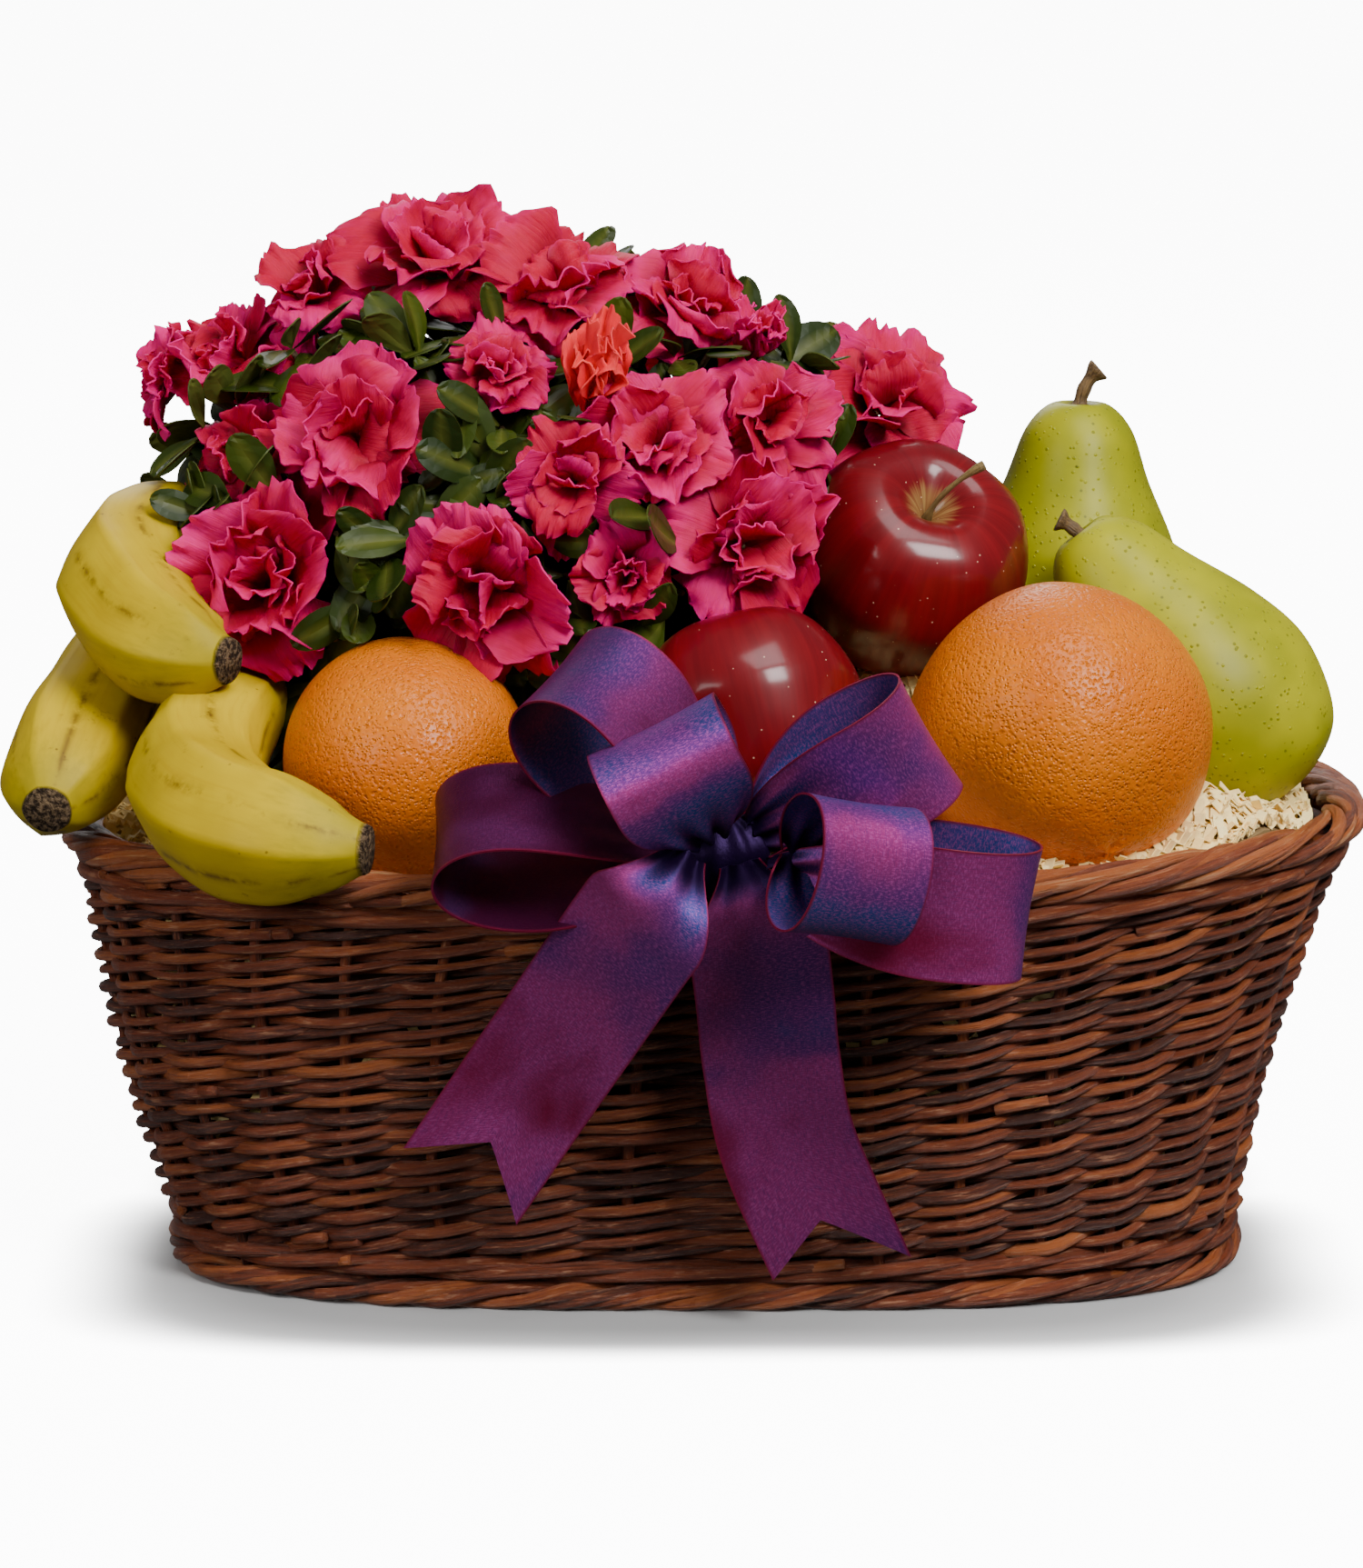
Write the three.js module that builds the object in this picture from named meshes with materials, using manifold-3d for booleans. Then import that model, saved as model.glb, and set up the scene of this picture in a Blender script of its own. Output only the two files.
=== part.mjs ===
// A gift basket: a dark willow basket of fruit bedded in cut paper, an azalea in flower, and a bow
// of shot ribbon tied at the front of the rim.
// Millimetres, +Z up. The origin is the middle of the basket's flat underside, and the front
// of the basket faces -Y.

import * as THREE from 'three';
import { mergeVertices } from 'three/addons/utils/BufferGeometryUtils.js';
import Module from 'manifold-3d';

const wasm = await Module();
wasm.setup();

const TAU = 2 * Math.PI;

// Driving dimensions of the basket
const RIM = { halfWidth: 190, halfDepth: 122, square: 2.5, top: 130, width: 14, height: 11, rise: 5 };
const FOOT = { halfWidth: 157, halfDepth: 92, square: 3.2, width: 10, height: 8 };
const WALL = { thickness: 5.5, flare: 0.97, setIn: 3, relief: 1.4, rows: 9, floor: 5, sway: 2.4 };
const STAKES = 28;
const ROPE_LAY = 55; // length of rim or foot in which its rods turn by one rod
const GAP = 0.35; // clearance between pieces that touch

// The paper bed, whose top is a mound that carries the fruit, heaped higher under the back pear and
// where it shows at the right
const BED = { edge: 121, mound: 20, strips: 9, stripWidth: 3.2, stripThickness: 0.7, fold: 5.5 };
const HEAPS = [
	{ at: [147, -56], spread: [22, 16], height: 11 },
	{ at: [110, 52], spread: [34, 28], height: 15 },
];

// Round fruit: middle, radius, and the way its stem end points
const FRUIT = {
	orange_right: { at: [100, -58, 160], radius: 43.2, up: [-0.3, 0.1, 0.9] },
	orange_left: { at: [-83.5, -63, 152], radius: 36, up: [0.66, 0.1, 0.74] },
	apple_high: { at: [59, 0, 199.5], radius: 34.5, up: [0.25, -0.59, 0.77] },
	apple_low: { at: [13, -59, 163], radius: 33, up: [-0.25, 0.5, 0.83] },
	pear_back: { at: [110, 52, 174], radius: 33.5, up: [0.02, 0.02, 1] },
	pear_front: { at: [150, 0, 156], radius: 32.5, up: [-0.62, 0.1, 0.77] },
};
const PEAR_LENGTH = 96;
const STEM_RADIUS = 1.7;

// Each banana follows a curve from its hidden end to its cut stem: point, then radius there
const BANANA_STUB = 5.2;
const BANANAS = {
	banana_top: {
		route: [[-140, 20, 212], [-158, 2, 206], [-166, -20, 197], [-158, -44, 187], [-145, -60, 183],
			[-133, -67, 182]],
		radii: [9, 17.5, 19, 18, 14, 6],
	},
	banana_left: {
		route: [[-158, 30, 178], [-168, 6, 171], [-175, -20, 160], [-181, -43, 149.5], [-184, -60, 143],
			[-185, -71, 140]],
		radii: [10, 16.5, 18.5, 18.5, 14, 6],
	},
	banana_front: {
		route: [[-137, -52, 156], [-143, -76, 150], [-136, -99, 144.5], [-120, -114, 141.5],
			[-105, -121, 140], [-92, -124, 139.5]],
		radii: [10, 18, 19.5, 19, 14, 6],
	},
};

// The azalea: a leafy dome that stands in the paper, with its flowers on the outside. A flower's tube
// reaches into the dome to a share of the dome's own size.
const DOME = { at: [-50, 22, 196], half: [88, 62, 72], floor: 134 };
const LEAF = { length: 34, width: 15, count: 28 };
const PETAL_THICKNESS = 2.2;
const TUBE_REACH = 0.93;
const FLOWERS = [
	// middle, radius, the way it opens
	[[-78, 12, 288], 26, [-0.1, -0.5, 0.85]],
	[[-42, -4, 281], 24, [0.1, -0.65, 0.75]],
	[[-5, 8, 273], 21, [0.3, -0.55, 0.75]],
	[[-114, 14, 277], 18, [-0.4, -0.4, 0.8]],
	[[-138, 14, 258], 20, [-0.6, -0.6, 0.5]],
	[[-157, 22, 250], 15, [-0.9, -0.3, 0.3]],
	[[-99, -36, 241], 28, [-0.25, -0.9, 0.35]],
	[[-132, -12, 234], 15, [-0.6, -0.7, 0.3]],
	[[-58, -30, 259], 16, [0, -0.75, 0.65]],
	[[53, 24, 243], 25, [0.4, -0.65, 0.55]],
	[[-14, -44, 241], 19, [-0.1, -0.85, 0.5]],
	[[18, -28, 245], 20, [0.35, -0.8, 0.5]],
	[[12, -50, 212], 24, [0.25, -0.95, 0.15]],
	[[-37, -55, 231], 17, [-0.05, -0.95, 0.3]],
	[[-22, -60, 205], 14, [0, -0.95, 0]],
	[[-62, -64, 202], 25, [0, -0.95, 0.1]],
	[[-125, -40, 200], 26, [-0.4, -0.9, 0.1]],
	[[-104, 62, 262], 24, [-0.4, 0.6, 0.6]],
	[[-48, 76, 258], 25, [0, 0.75, 0.6]],
	[[8, 68, 248], 24, [0.4, 0.7, 0.5]],
	[[-110, 74, 208], 24, [-0.5, 0.8, 0.1]],
	[[-24, 88, 204], 25, [0.1, 0.95, 0]],
];

// The bow: ribbon width and thickness, the knot, which lies on the rim a little behind the place
// where the loops meet, and the loops.
// A loop leaves the knot along "out"; "across" is the way its width lies.
const RIBBON = { width: 38, thickness: 1.2, pinch: 0.66 };
const KNOT = { at: [3, -133, 138], behind: 5, half: [10, 12, 13] };
const LOOPS = [
	{ name: 'high_left', from: [-6, 3, 10], out: [-0.7, 0.05, 0.71], across: [0.58, 0.66, 0.48],
		length: 59, open: 27 },
	{ name: 'high_right', from: [8, 3, 8], out: [0.86, 0.02, 0.49], across: [0.6, 0.31, -0.73],
		length: 55, open: 20 },
	{ name: 'low_left', from: [-10, 2, 1], out: [-1, -0.02, 0.1], across: [-0.12, 0.62, 0.77],
		length: 75, open: 19 },
	{ name: 'low_right', from: [11, -4, -4], out: [0.96, 0.03, -0.13], across: [0.3, -0.36, 0.88],
		length: 73, open: 22 },
	{ name: 'front_left', from: [-4, -10, 9], out: [-0.42, -0.38, 0.83], across: [0.88, 0, 0.47],
		length: 37, open: 26 },
	{ name: 'front_right', from: [20, -6, 3], out: [0.5, -0.86, 0], across: [0.86, 0.44, -0.3],
		length: 36, open: 32 },
];
// A tail hangs down the wall: x and z of its middle at the knot, part way and at its end, and how
// far its cut end slants
const TAILS = {
	bow_tail_left: { route: [[-5, 123], [-13, 108], [-36, 77], [-64, 40]], slant: 0 },
	bow_tail_right: { route: [[8, 121], [12, 98], [18, 60], [38, 16]], slant: 12 },
};
const TAIL_STAND_OFF = 7;
const NOTCH = 16;

const vec = (x, y, z) => new THREE.Vector3(x, y, z);
const mix = THREE.MathUtils.lerp;
const ease = THREE.MathUtils.smoothstep;
const times = (count, make) => Array.from({ length: count }, (unused, index) => make(index));

// Repeatable random numbers from 0 to 1.
function dice(seed) {
	let state = seed;
	return () => {
		state = (state * 1664525 + 1013904223) % 4294967296;
		return state / 4294967296;
	};
}

// A closed three.js geometry as a solid that can be joined and cut.
function solid(geometry) {
	const bare = geometry.clone();
	bare.deleteAttribute('normal');
	bare.deleteAttribute('uv');
	const merged = mergeVertices(bare, 1e-4);
	return new wasm.Manifold(new wasm.Mesh({
		numProp: 3,
		vertProperties: Float32Array.from(merged.attributes.position.array),
		triVerts: Uint32Array.from(merged.index.array),
	}));
}

function geometryOf(body) {
	const mesh = body.getMesh();
	const geometry = new THREE.BufferGeometry();
	const points = new THREE.BufferAttribute(Float32Array.from(mesh.vertProperties), 3);
	geometry.setAttribute('position', points);
	geometry.setIndex(Array.from(mesh.triVerts));
	geometry.computeVertexNormals();
	return geometry;
}

// The same solid with every corner moved outwards, to cut room for it with clearance.
function grown(body, by = GAP * 1.4) {
	const geometry = geometryOf(body);
	const { position, normal } = geometry.attributes;
	for (let i = 0; i < position.count; i += 1) {
		position.setXYZ(i, position.getX(i) + by * normal.getX(i), position.getY(i) + by * normal.getY(i),
			position.getZ(i) + by * normal.getZ(i));
	}
	return solid(geometry).add(body);
}

// Whether the boxes round two solids stand clear of each other.
function apart(one, other) {
	const [p, q] = [one.boundingBox(), other.boundingBox()];
	return [0, 1, 2].some((i) => p.min[i] > q.max[i] + 1 || q.min[i] > p.max[i] + 1);
}

// The biggest of the loose pieces that a cut has left.
function biggest(body) {
	const parts = body.decompose();
	return parts.reduce((best, part) => (part.volume() > best.volume() ? part : best), parts[0]);
}

// A skin over rings of equal count. Its ends are shut by a fan round their middle, or, for a thin
// strip whose ring runs along one face and back along the other, by a row of quads.
function skin(rings, { closed = false, strip = false } = {}) {
	const count = rings[0].length;
	const points = rings.flat();
	const faces = [];
	const quad = (a, b, c, d) => faces.push(a, b, c, a, c, d);
	const bands = closed ? rings.length : rings.length - 1;
	for (let r = 0; r < bands; r += 1) {
		const here = r * count;
		const next = ((r + 1) % rings.length) * count;
		for (let i = 0; i < count; i += 1) {
			const j = (i + 1) % count;
			quad(here + i, here + j, next + j, next + i);
		}
	}
	const last = (rings.length - 1) * count;
	if (!closed && strip) {
		for (let i = 0; i < count / 2 - 1; i += 1) {
			quad(count - 1 - i, count - 2 - i, i + 1, i);
			quad(last + i, last + i + 1, last + count - 2 - i, last + count - 1 - i);
		}
	} else if (!closed) {
		[[0, rings[0], -1], [last, rings.at(-1), 1]].forEach(([start, ring, side]) => {
			const middle = ring.middle ?? ring.reduce((sum, p) => sum.add(p), vec(0, 0, 0)).divideScalar(count);
			points.push(middle);
			for (let i = 0; i < count; i += 1) {
				const j = (i + 1) % count;
				faces.push(...(side > 0 ? [start + i, start + j, points.length - 1]
					: [start + j, start + i, points.length - 1]));
			}
		});
	}
	const geometry = new THREE.BufferGeometry();
	const flat = new Float32Array(points.flatMap((p) => [p.x, p.y, p.z]));
	geometry.setAttribute('position', new THREE.BufferAttribute(flat, 3));
	geometry.setIndex(faces);
	return geometry;
}

// The move that turns +Z to a direction and takes the origin to a point.
function placing(at, up, spin = 0) {
	const direction = vec(...up).normalize();
	const turn = new THREE.Quaternion().setFromUnitVectors(vec(0, 0, 1), direction);
	turn.multiply(new THREE.Quaternion().setFromAxisAngle(vec(0, 0, 1), spin));
	return new THREE.Matrix4().compose(vec(...at), turn, vec(1, 1, 1));
}

const aimed = (geometry, at, up, spin) => geometry.clone().applyMatrix4(placing(at, up, spin));

// A point of a superellipse: the exponent sets how square its corners are.
function oval(halfWidth, halfDepth, square, angle) {
	const power = (value) => Math.sign(value) * Math.abs(value) ** (2 / square);
	return [halfWidth * power(Math.cos(angle)), halfDepth * power(Math.sin(angle))];
}

// Angles that divide the rim into equal lengths.
function evenAngles(count, { halfWidth, halfDepth, square } = RIM) {
	const steps = 1800;
	const reach = [0];
	let before = oval(halfWidth, halfDepth, square, 0);
	for (let i = 1; i <= steps; i += 1) {
		const here = oval(halfWidth, halfDepth, square, (TAU * i) / steps);
		reach.push(reach.at(-1) + Math.hypot(here[0] - before[0], here[1] - before[1]));
		before = here;
	}
	return times(count, (k) => {
		const target = (reach.at(-1) * k) / count;
		const after = Math.max(1, reach.findIndex((value) => value >= target));
		const part = (target - reach[after - 1]) / (reach[after] - reach[after - 1]);
		return (TAU * (after - 1 + part)) / steps;
	});
}

const rimRise = (x) => RIM.rise * ease(x, 60, RIM.halfWidth);

// The hand-made wall leans a little to one side and back as it rises.
const sway = (t) => WALL.sway * (t - 1.5 * Math.sin(Math.PI * t));

// The wall's outline at a height: the share of the way up, its half width and half depth, and how
// square its corners are.
function wallSize(z) {
	const t = THREE.MathUtils.clamp((z - FOOT.height) / (RIM.top - RIM.height - FOOT.height), 0, 1);
	return {
		t,
		halfWidth: mix(FOOT.halfWidth - WALL.setIn, RIM.halfWidth * WALL.flare, t),
		halfDepth: mix(FOOT.halfDepth - WALL.setIn, RIM.halfDepth * WALL.flare, t),
		square: mix(FOOT.square, RIM.square, t),
	};
}

// The wall's outside at a height, pulled in by an inset.
function wallPoint(angle, z, inset = 0) {
	const { t, halfWidth, halfDepth, square } = wallSize(z);
	const [x, y] = oval(halfWidth - inset, halfDepth - inset, square, angle);
	return vec(x + sway(t), y, z + rimRise(x) * t);
}

// How far the front of the wall stands from the middle at a place across and up it.
function wallFront(x, z) {
	const { halfWidth, halfDepth, square } = wallSize(z);
	return -halfDepth * (1 - Math.abs(x / halfWidth) ** square) ** (1 / square);
}

// The woven shell: its outside rises and dips where rods pass in front of and behind each stake,
// and its foot is stepped in to sit inside the foot border. The triangles of its underside meet a
// little off the middle, so that the origin lies well inside one of them.
function basketWall() {
	const angles = evenAngles(2 * STAKES);
	const top = RIM.top - RIM.height - GAP;
	const ring = (z, inset, relief = () => 0) => angles.map((a, i) => wallPoint(a, z, inset - relief(i)));
	const inset = FOOT.width + GAP;
	const underside = ring(0, inset);
	underside.middle = vec(24, 9, 0);
	const outside = times(WALL.rows + 1, (row) => {
		const z = mix(FOOT.height + GAP, top, row / WALL.rows);
		return ring(z, 0, (i) => (row === WALL.rows ? 0 : WALL.relief * Math.cos(Math.PI * (i / 2 + row))));
	});
	const inside = [top, 40, WALL.floor].map((z) => ring(z, WALL.thickness + (z === WALL.floor ? inset : 0)));
	const step = ring(FOOT.height + GAP, inset);
	return solid(skin([underside, step, ...outside, ...inside]));
}

// A ring of stout rods laid round the basket like a rope: its section turns as it goes.
function border(path, sides, halfWidth, halfHeight, floor = -Infinity) {
	const turns = Math.round(path.lengthMm / ROPE_LAY);
	const sections = path.map(({ point, outward }, k) => {
		const turn = (TAU * turns * k) / path.length;
		return times(sides, (i) => {
			const angle = (-TAU * i) / sides;
			const swell = 0.9 + 0.1 * Math.cos(3 * angle + turn);
			const out = Math.cos(angle) * halfWidth * swell;
			const z = point.z + Math.sin(angle) * halfHeight * swell;
			return vec(point.x + outward.x * out, point.y + outward.y * out, Math.max(z, floor));
		});
	});
	return solid(skin(sections, { closed: true }));
}

function ovalPath(steps, size, inset, height, lean = 0) {
	const path = evenAngles(steps, size).map((angle) => {
		const [x, y] = oval(size.halfWidth - inset, size.halfDepth - inset, size.square, angle);
		const away = vec(x / size.halfWidth ** 2, y / size.halfDepth ** 2, 0).normalize();
		return { point: vec(x + lean, y, height(x)), outward: away };
	});
	path.lengthMm = path.reduce((sum, { point }, k) => sum + point.distanceTo(path.at(k - 1).point), 0);
	return path;
}

function basketRim() {
	const middle = RIM.top - RIM.height / 2;
	const path = ovalPath(54, RIM, RIM.width / 2, (x) => middle + rimRise(x), sway(1));
	return border(path, 7, RIM.width / 2, RIM.height / 2);
}

function basketFoot() {
	const path = ovalPath(40, FOOT, FOOT.width / 2, () => FOOT.height * 0.45);
	return border(path, 6, FOOT.width / 2, FOOT.height * 0.55, 0);
}

// Height of the paper at a place: a mound under the fruit that falls to the rim, and its heaps.
function bedHeight(x, y) {
	const reach = Math.min(1, Math.hypot(x / (RIM.halfWidth - RIM.width), y / (RIM.halfDepth - RIM.width)));
	const heap = HEAPS.reduce((sum, { at, spread, height }) => (
		sum + height * Math.exp(-(((x - at[0]) / spread[0]) ** 2) - ((y - at[1]) / spread[1]) ** 2)), 0);
	return BED.edge + BED.mound * (1 - reach ** 2) ** 0.75 + heap + rimRise(x);
}

// One cut strip of paper, crimped to and fro like a concertina.
function paperStrip(at, heading, tilt, folds, { stripWidth, stripThickness, fold } = BED) {
	const along = vec(Math.cos(heading), Math.sin(heading), tilt).normalize();
	const across = vec(-Math.sin(heading), Math.cos(heading), 0).multiplyScalar(stripWidth / 2);
	const up = along.clone().cross(across).normalize();
	const sections = times(folds + 1, (k) => {
		const point = vec(...at).addScaledVector(along, (k - folds / 2) * fold)
			.addScaledVector(up, (k % 2 ? 1 : -1) * fold * 0.35);
		const lift = up.clone().multiplyScalar(stripThickness);
		return [point.clone().sub(across), point.clone().add(across),
			point.clone().add(across).add(lift), point.clone().sub(across).add(lift)];
	});
	return solid(skin(sections, { strip: true }));
}

// The bed of cut paper, filling the basket, with loose strips along its edge where it shows.
function paperBed() {
	const angles = evenAngles(24);
	const side = [[WALL.floor + GAP, FOOT.width + 3], [42, 1.5], [112, 1.5]].map(([z, extra]) => (
		angles.map((angle) => wallPoint(angle, z, WALL.thickness + extra))));
	const top = [1, 0.86, 0.62, 0.32].map((share) => angles.map((angle) => {
		const inset = RIM.width + 1.2;
		const [x, y] = oval(RIM.halfWidth - inset, RIM.halfDepth - inset, RIM.square, angle);
		return vec(x * share + sway(1), y * share, bedHeight(x * share, y * share) - (share === 1 ? 1 : 0));
	}));
	const core = solid(skin([...side, ...top]));
	const random = dice(11);
	const strips = times(BED.strips, (k) => {
		const angle = -0.9 + (k / BED.strips) * (k % 2 ? 1.5 : TAU);
		const share = 0.72 + 0.16 * random();
		const [x, y] = oval(RIM.halfWidth * share, RIM.halfDepth * share, RIM.square, angle);
		const at = [x, y, bedHeight(x, y) + 0.6 + 1.5 * random()];
		return paperStrip(at, TAU * random(), 0.3 * (random() - 0.5), 3 + Math.floor(2 * random()));
	});
	return { core, strips };
}

// An orange: a sphere a little flattened at its stem and navel ends, with a shallow dimple.
function orange({ at, radius, up }) {
	const [levels, rays] = [9, 18];
	const rings = times(levels, (k) => {
		const polar = Math.PI - (Math.PI * (k + 0.5)) / levels;
		return times(rays, (i) => {
			const angle = (TAU * i) / rays;
			const r = radius * (1 - 0.012 * Math.cos(3 * angle + polar));
			return vec(r * Math.sin(polar) * Math.cos(angle), r * Math.sin(polar) * Math.sin(angle),
				0.965 * r * Math.cos(polar));
		});
	});
	rings[0].middle = vec(0, 0, -0.955 * radius);
	rings.at(-1).middle = vec(0, 0, 0.94 * radius);
	return solid(aimed(skin(rings), at, up));
}

// Points of an outline from the bottom pole to the top pole, smoothed by a spline.
function profile(points, steps) {
	const curve = new THREE.CatmullRomCurve3(points.map(([r, z]) => vec(r, z, 0)), false, 'centripetal');
	return curve.getPoints(steps).map((p, k) => (
		new THREE.Vector2(k === 0 || k === steps ? 0 : Math.max(p.x, 0.4), p.y)));
}

// An apple: broad shoulders, a funnel round the stem and five soft lobes at the eye.
function apple({ at, radius, up }) {
	const outline = [[0, -0.78], [0.28, -0.86], [0.72, -0.66], [0.96, -0.1], [0.97, 0.26], [0.78, 0.68],
		[0.46, 0.84], [0.2, 0.72], [0, 0.5]].map(([r, z]) => [r * radius, z * radius]);
	const geometry = new THREE.LatheGeometry(profile(outline, 11), 17);
	geometry.rotateX(Math.PI / 2);
	const { position } = geometry.attributes;
	for (let i = 0; i < position.count; i += 1) {
		const [x, y, z] = [position.getX(i), position.getY(i), position.getZ(i)];
		const lobe = 1 + 0.028 * Math.cos(5 * Math.atan2(y, x)) * ease(Math.abs(z), 0, radius);
		position.setXYZ(i, x * lobe, y * lobe, z);
	}
	return solid(aimed(geometry, at, up, 0.4));
}

// A pear: a round body drawn up into a blunt neck. Its middle is that of the round body.
function pear({ at, radius, up }) {
	const low = -0.92 * radius;
	const height = (share) => low + share * PEAR_LENGTH;
	const outline = [[0, height(0.03)], [0.3 * radius, height(0)], [0.78 * radius, height(0.09)],
		[radius, height(0.31)], [0.9 * radius, height(0.54)], [0.64 * radius, height(0.76)],
		[0.47 * radius, height(0.92)], [0.24 * radius, height(1)], [0, height(0.985)]];
	const geometry = new THREE.LatheGeometry(profile(outline, 11), 17);
	geometry.rotateX(Math.PI / 2);
	return solid(aimed(geometry, at, up));
}

// A woody stem, thicker at its free end, from a point on the fruit's axis.
function stem({ at, up }, base, length, lean) {
	const axis = vec(...up).normalize();
	const start = vec(...at).addScaledVector(axis, base);
	const bend = vec(...lean).multiplyScalar(length);
	const curve = new THREE.QuadraticBezierCurve3(start, start.clone().addScaledVector(axis, length * 0.5),
		start.clone().addScaledVector(axis, length * 0.8).add(bend));
	const round = new THREE.Shape().absarc(0, 0, STEM_RADIUS, 0, TAU);
	return solid(new THREE.ExtrudeGeometry(round, { steps: 3, curveSegments: 3, extrudePath: curve }));
}

// A banana: a five-sided tube along its curve that narrows to the hidden tip and the cut stem.
function banana({ route, radii }) {
	const steps = 12;
	const curve = new THREE.CatmullRomCurve3(route.map((p) => vec(...p)), false, 'centripetal');
	const frames = curve.computeFrenetFrames(steps);
	const width = new THREE.CatmullRomCurve3(radii.map((r, k) => vec(k / (radii.length - 1), r, 0)));
	const rings = times(steps + 1, (k) => {
		const t = k / steps;
		const middle = curve.getPoint(t);
		const radius = Math.max(BANANA_STUB, width.getPoint(t).y);
		return times(10, (i) => {
			const angle = (TAU * i) / 10;
			const r = radius * (i % 2 ? 0.965 : 1.03);
			return middle.clone().addScaledVector(frames.normals[k], r * Math.cos(angle))
				.addScaledVector(frames.binormals[k], r * Math.sin(angle));
		});
	});
	return solid(skin(rings));
}

// How far out a place is from the middle of the dome, where its surface is 1.
const domeShare = (p) => Math.hypot(...DOME.half.map((half, i) => (p[i] - DOME.at[i]) / half));

// A flower: a ruffled cup of five petals round a raised frilled middle, with a tube behind that
// narrows to its root in the leaves.
function flower([at, radius, up], index) {
	const rays = 10;
	const random = dice(300 + index);
	const phase = random() * TAU;
	const uneven = times(rays, () => 0.2 * (random() - 0.5));
	const place = placing(at, up, random() * TAU);
	const root = vec(...DOME.at).lerp(vec(...at), TUBE_REACH / domeShare(at));
	const ring = (share, height, ruffle) => times(rays, (i) => {
		const angle = (TAU * i) / rays;
		const r = radius * share * (1 + share * (0.06 * Math.cos(5 * angle) + uneven[i]));
		const frill = ruffle * (Math.sin(3 * angle + phase) + 0.8 * Math.cos(5 * angle + phase));
		return vec(r * Math.cos(angle), r * Math.sin(angle), radius * (height + frill / 2));
	});
	const lower = (points) => points.map((p) => p.clone().setZ(p.z - PETAL_THICKNESS));
	const [petals, waist, middle] = [ring(1, 0.34, 0.26), ring(0.55, 0.08, 0.1), ring(0.3, 0.4, 0.12)];
	const under = [lower(waist), lower(petals)];
	under[0].middle = root.applyMatrix4(place.clone().invert());
	return solid(skin([...under, petals, waist, middle]).applyMatrix4(place));
}

// A closed bud: a small drop of folded petals.
function bud(at, length, radius, up) {
	const outline = [[0, -0.5], [0.6, -0.3], [1, 0.05], [0.7, 0.35], [0, 0.5]]
		.map(([r, z]) => [r * radius, z * length]);
	const geometry = new THREE.LatheGeometry(profile(outline, 6), 8);
	geometry.rotateX(Math.PI / 2);
	return solid(aimed(geometry, at, up));
}

// A leaf: a thin lens of two faces, raised along its midrib and waved from base to tip. It grows
// from its root along one way, with its upper face turned towards another.
function leaf(root, along, facing, size) {
	const { length, width } = LEAF;
	const stations = [[0.34, 0.42], [0.7, 0.5]];
	const point = (x, y, z) => vec(x * length * size, y * width * size, z * size);
	const edge = stations.map(([x, half]) => [point(x, half, 2.2), point(x, -half, 2.2)]);
	const rib = (lift) => stations.map(([x]) => point(x, 0, lift + 1.5 * Math.sin(x * Math.PI)));
	const [high, low] = [rib(0.9), rib(-0.7)];
	const tips = [point(-0.12, 0, 0), point(1, 0, 1.6)];
	const corners = [tips[0], edge[0][0], high[0], edge[0][1], edge[1][0], high[1], edge[1][1], tips[1],
		low[0], low[1]];
	const face = (m, n) => [0, m, 1, 0, 3, m, 1, m, n, 1, n, 4, m, 3, 6, m, 6, n, 4, n, 7, n, 6, 7];
	const geometry = new THREE.BufferGeometry();
	const flat = new Float32Array(corners.flatMap((p) => [p.x, p.y, p.z]));
	geometry.setAttribute('position', new THREE.BufferAttribute(flat, 3));
	geometry.setIndex([...face(2, 5), ...face(8, 9).reverse()]);
	const side = facing.clone().cross(along).normalize();
	const normal = along.clone().cross(side).normalize();
	return solid(geometry.applyMatrix4(new THREE.Matrix4().makeBasis(along, side, normal).setPosition(root)));
}

// The leafy dome: a lumpy core with leaves standing out of it between the flowers.
function foliage(neighbours) {
	const [a, b, c] = DOME.half;
	const surface = (out, share = 1) => vec(DOME.at[0] + a * share * out.x, DOME.at[1] + b * share * out.y,
		DOME.at[2] + c * share * out.z);
	const lowest = Math.acos((DOME.floor - DOME.at[2]) / c);
	const [levels, rays] = [6, 12];
	const core = solid(skin(times(levels, (k) => {
		const polar = mix(lowest, 0.25, k / (levels - 1));
		return times(rays, (i) => {
			const angle = (TAU * i) / rays;
			const lump = 1 + (k ? 0.04 * Math.cos(4 * angle + 3 * polar) : 0);
			const out = new THREE.Vector3().setFromSphericalCoords(lump, polar, angle);
			return surface(vec(out.z, out.x, Math.cos(polar)));
		});
	})));
	const cutters = neighbours.map((body) => grown(body));
	let bush = cutters.reduce((rest, cutter) => (apart(cutter, rest) ? rest : rest.subtract(cutter)), core);
	const random = dice(77);
	const golden = Math.PI * (3 - Math.sqrt(5));
	const tries = 5 * LEAF.count;
	let kept = 0;
	for (let k = 0; k < tries && kept < LEAF.count; k += 1) {
		const rise = 1 - (1.4 * (((k * 7) % tries) + 0.5)) / tries;
		const level = Math.sqrt(1 - rise * rise);
		const out = vec(level * Math.cos(golden * k), level * Math.sin(golden * k), rise);
		const lean = vec(random() - 0.5, random() - 0.5, random() - 0.4).multiplyScalar(1.1);
		const along = out.clone().add(lean).normalize();
		const blade = leaf(surface(out, 0.94), along, out, 0.8 + 0.4 * random());
		const clear = cutters.every((cutter) => apart(cutter, blade) || cutter.intersect(blade).isEmpty());
		if (clear && bush.intersect(blade).volume() > 1) {
			bush = bush.add(blade);
			kept += 1;
		}
	}
	return biggest(bush);
}

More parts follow.
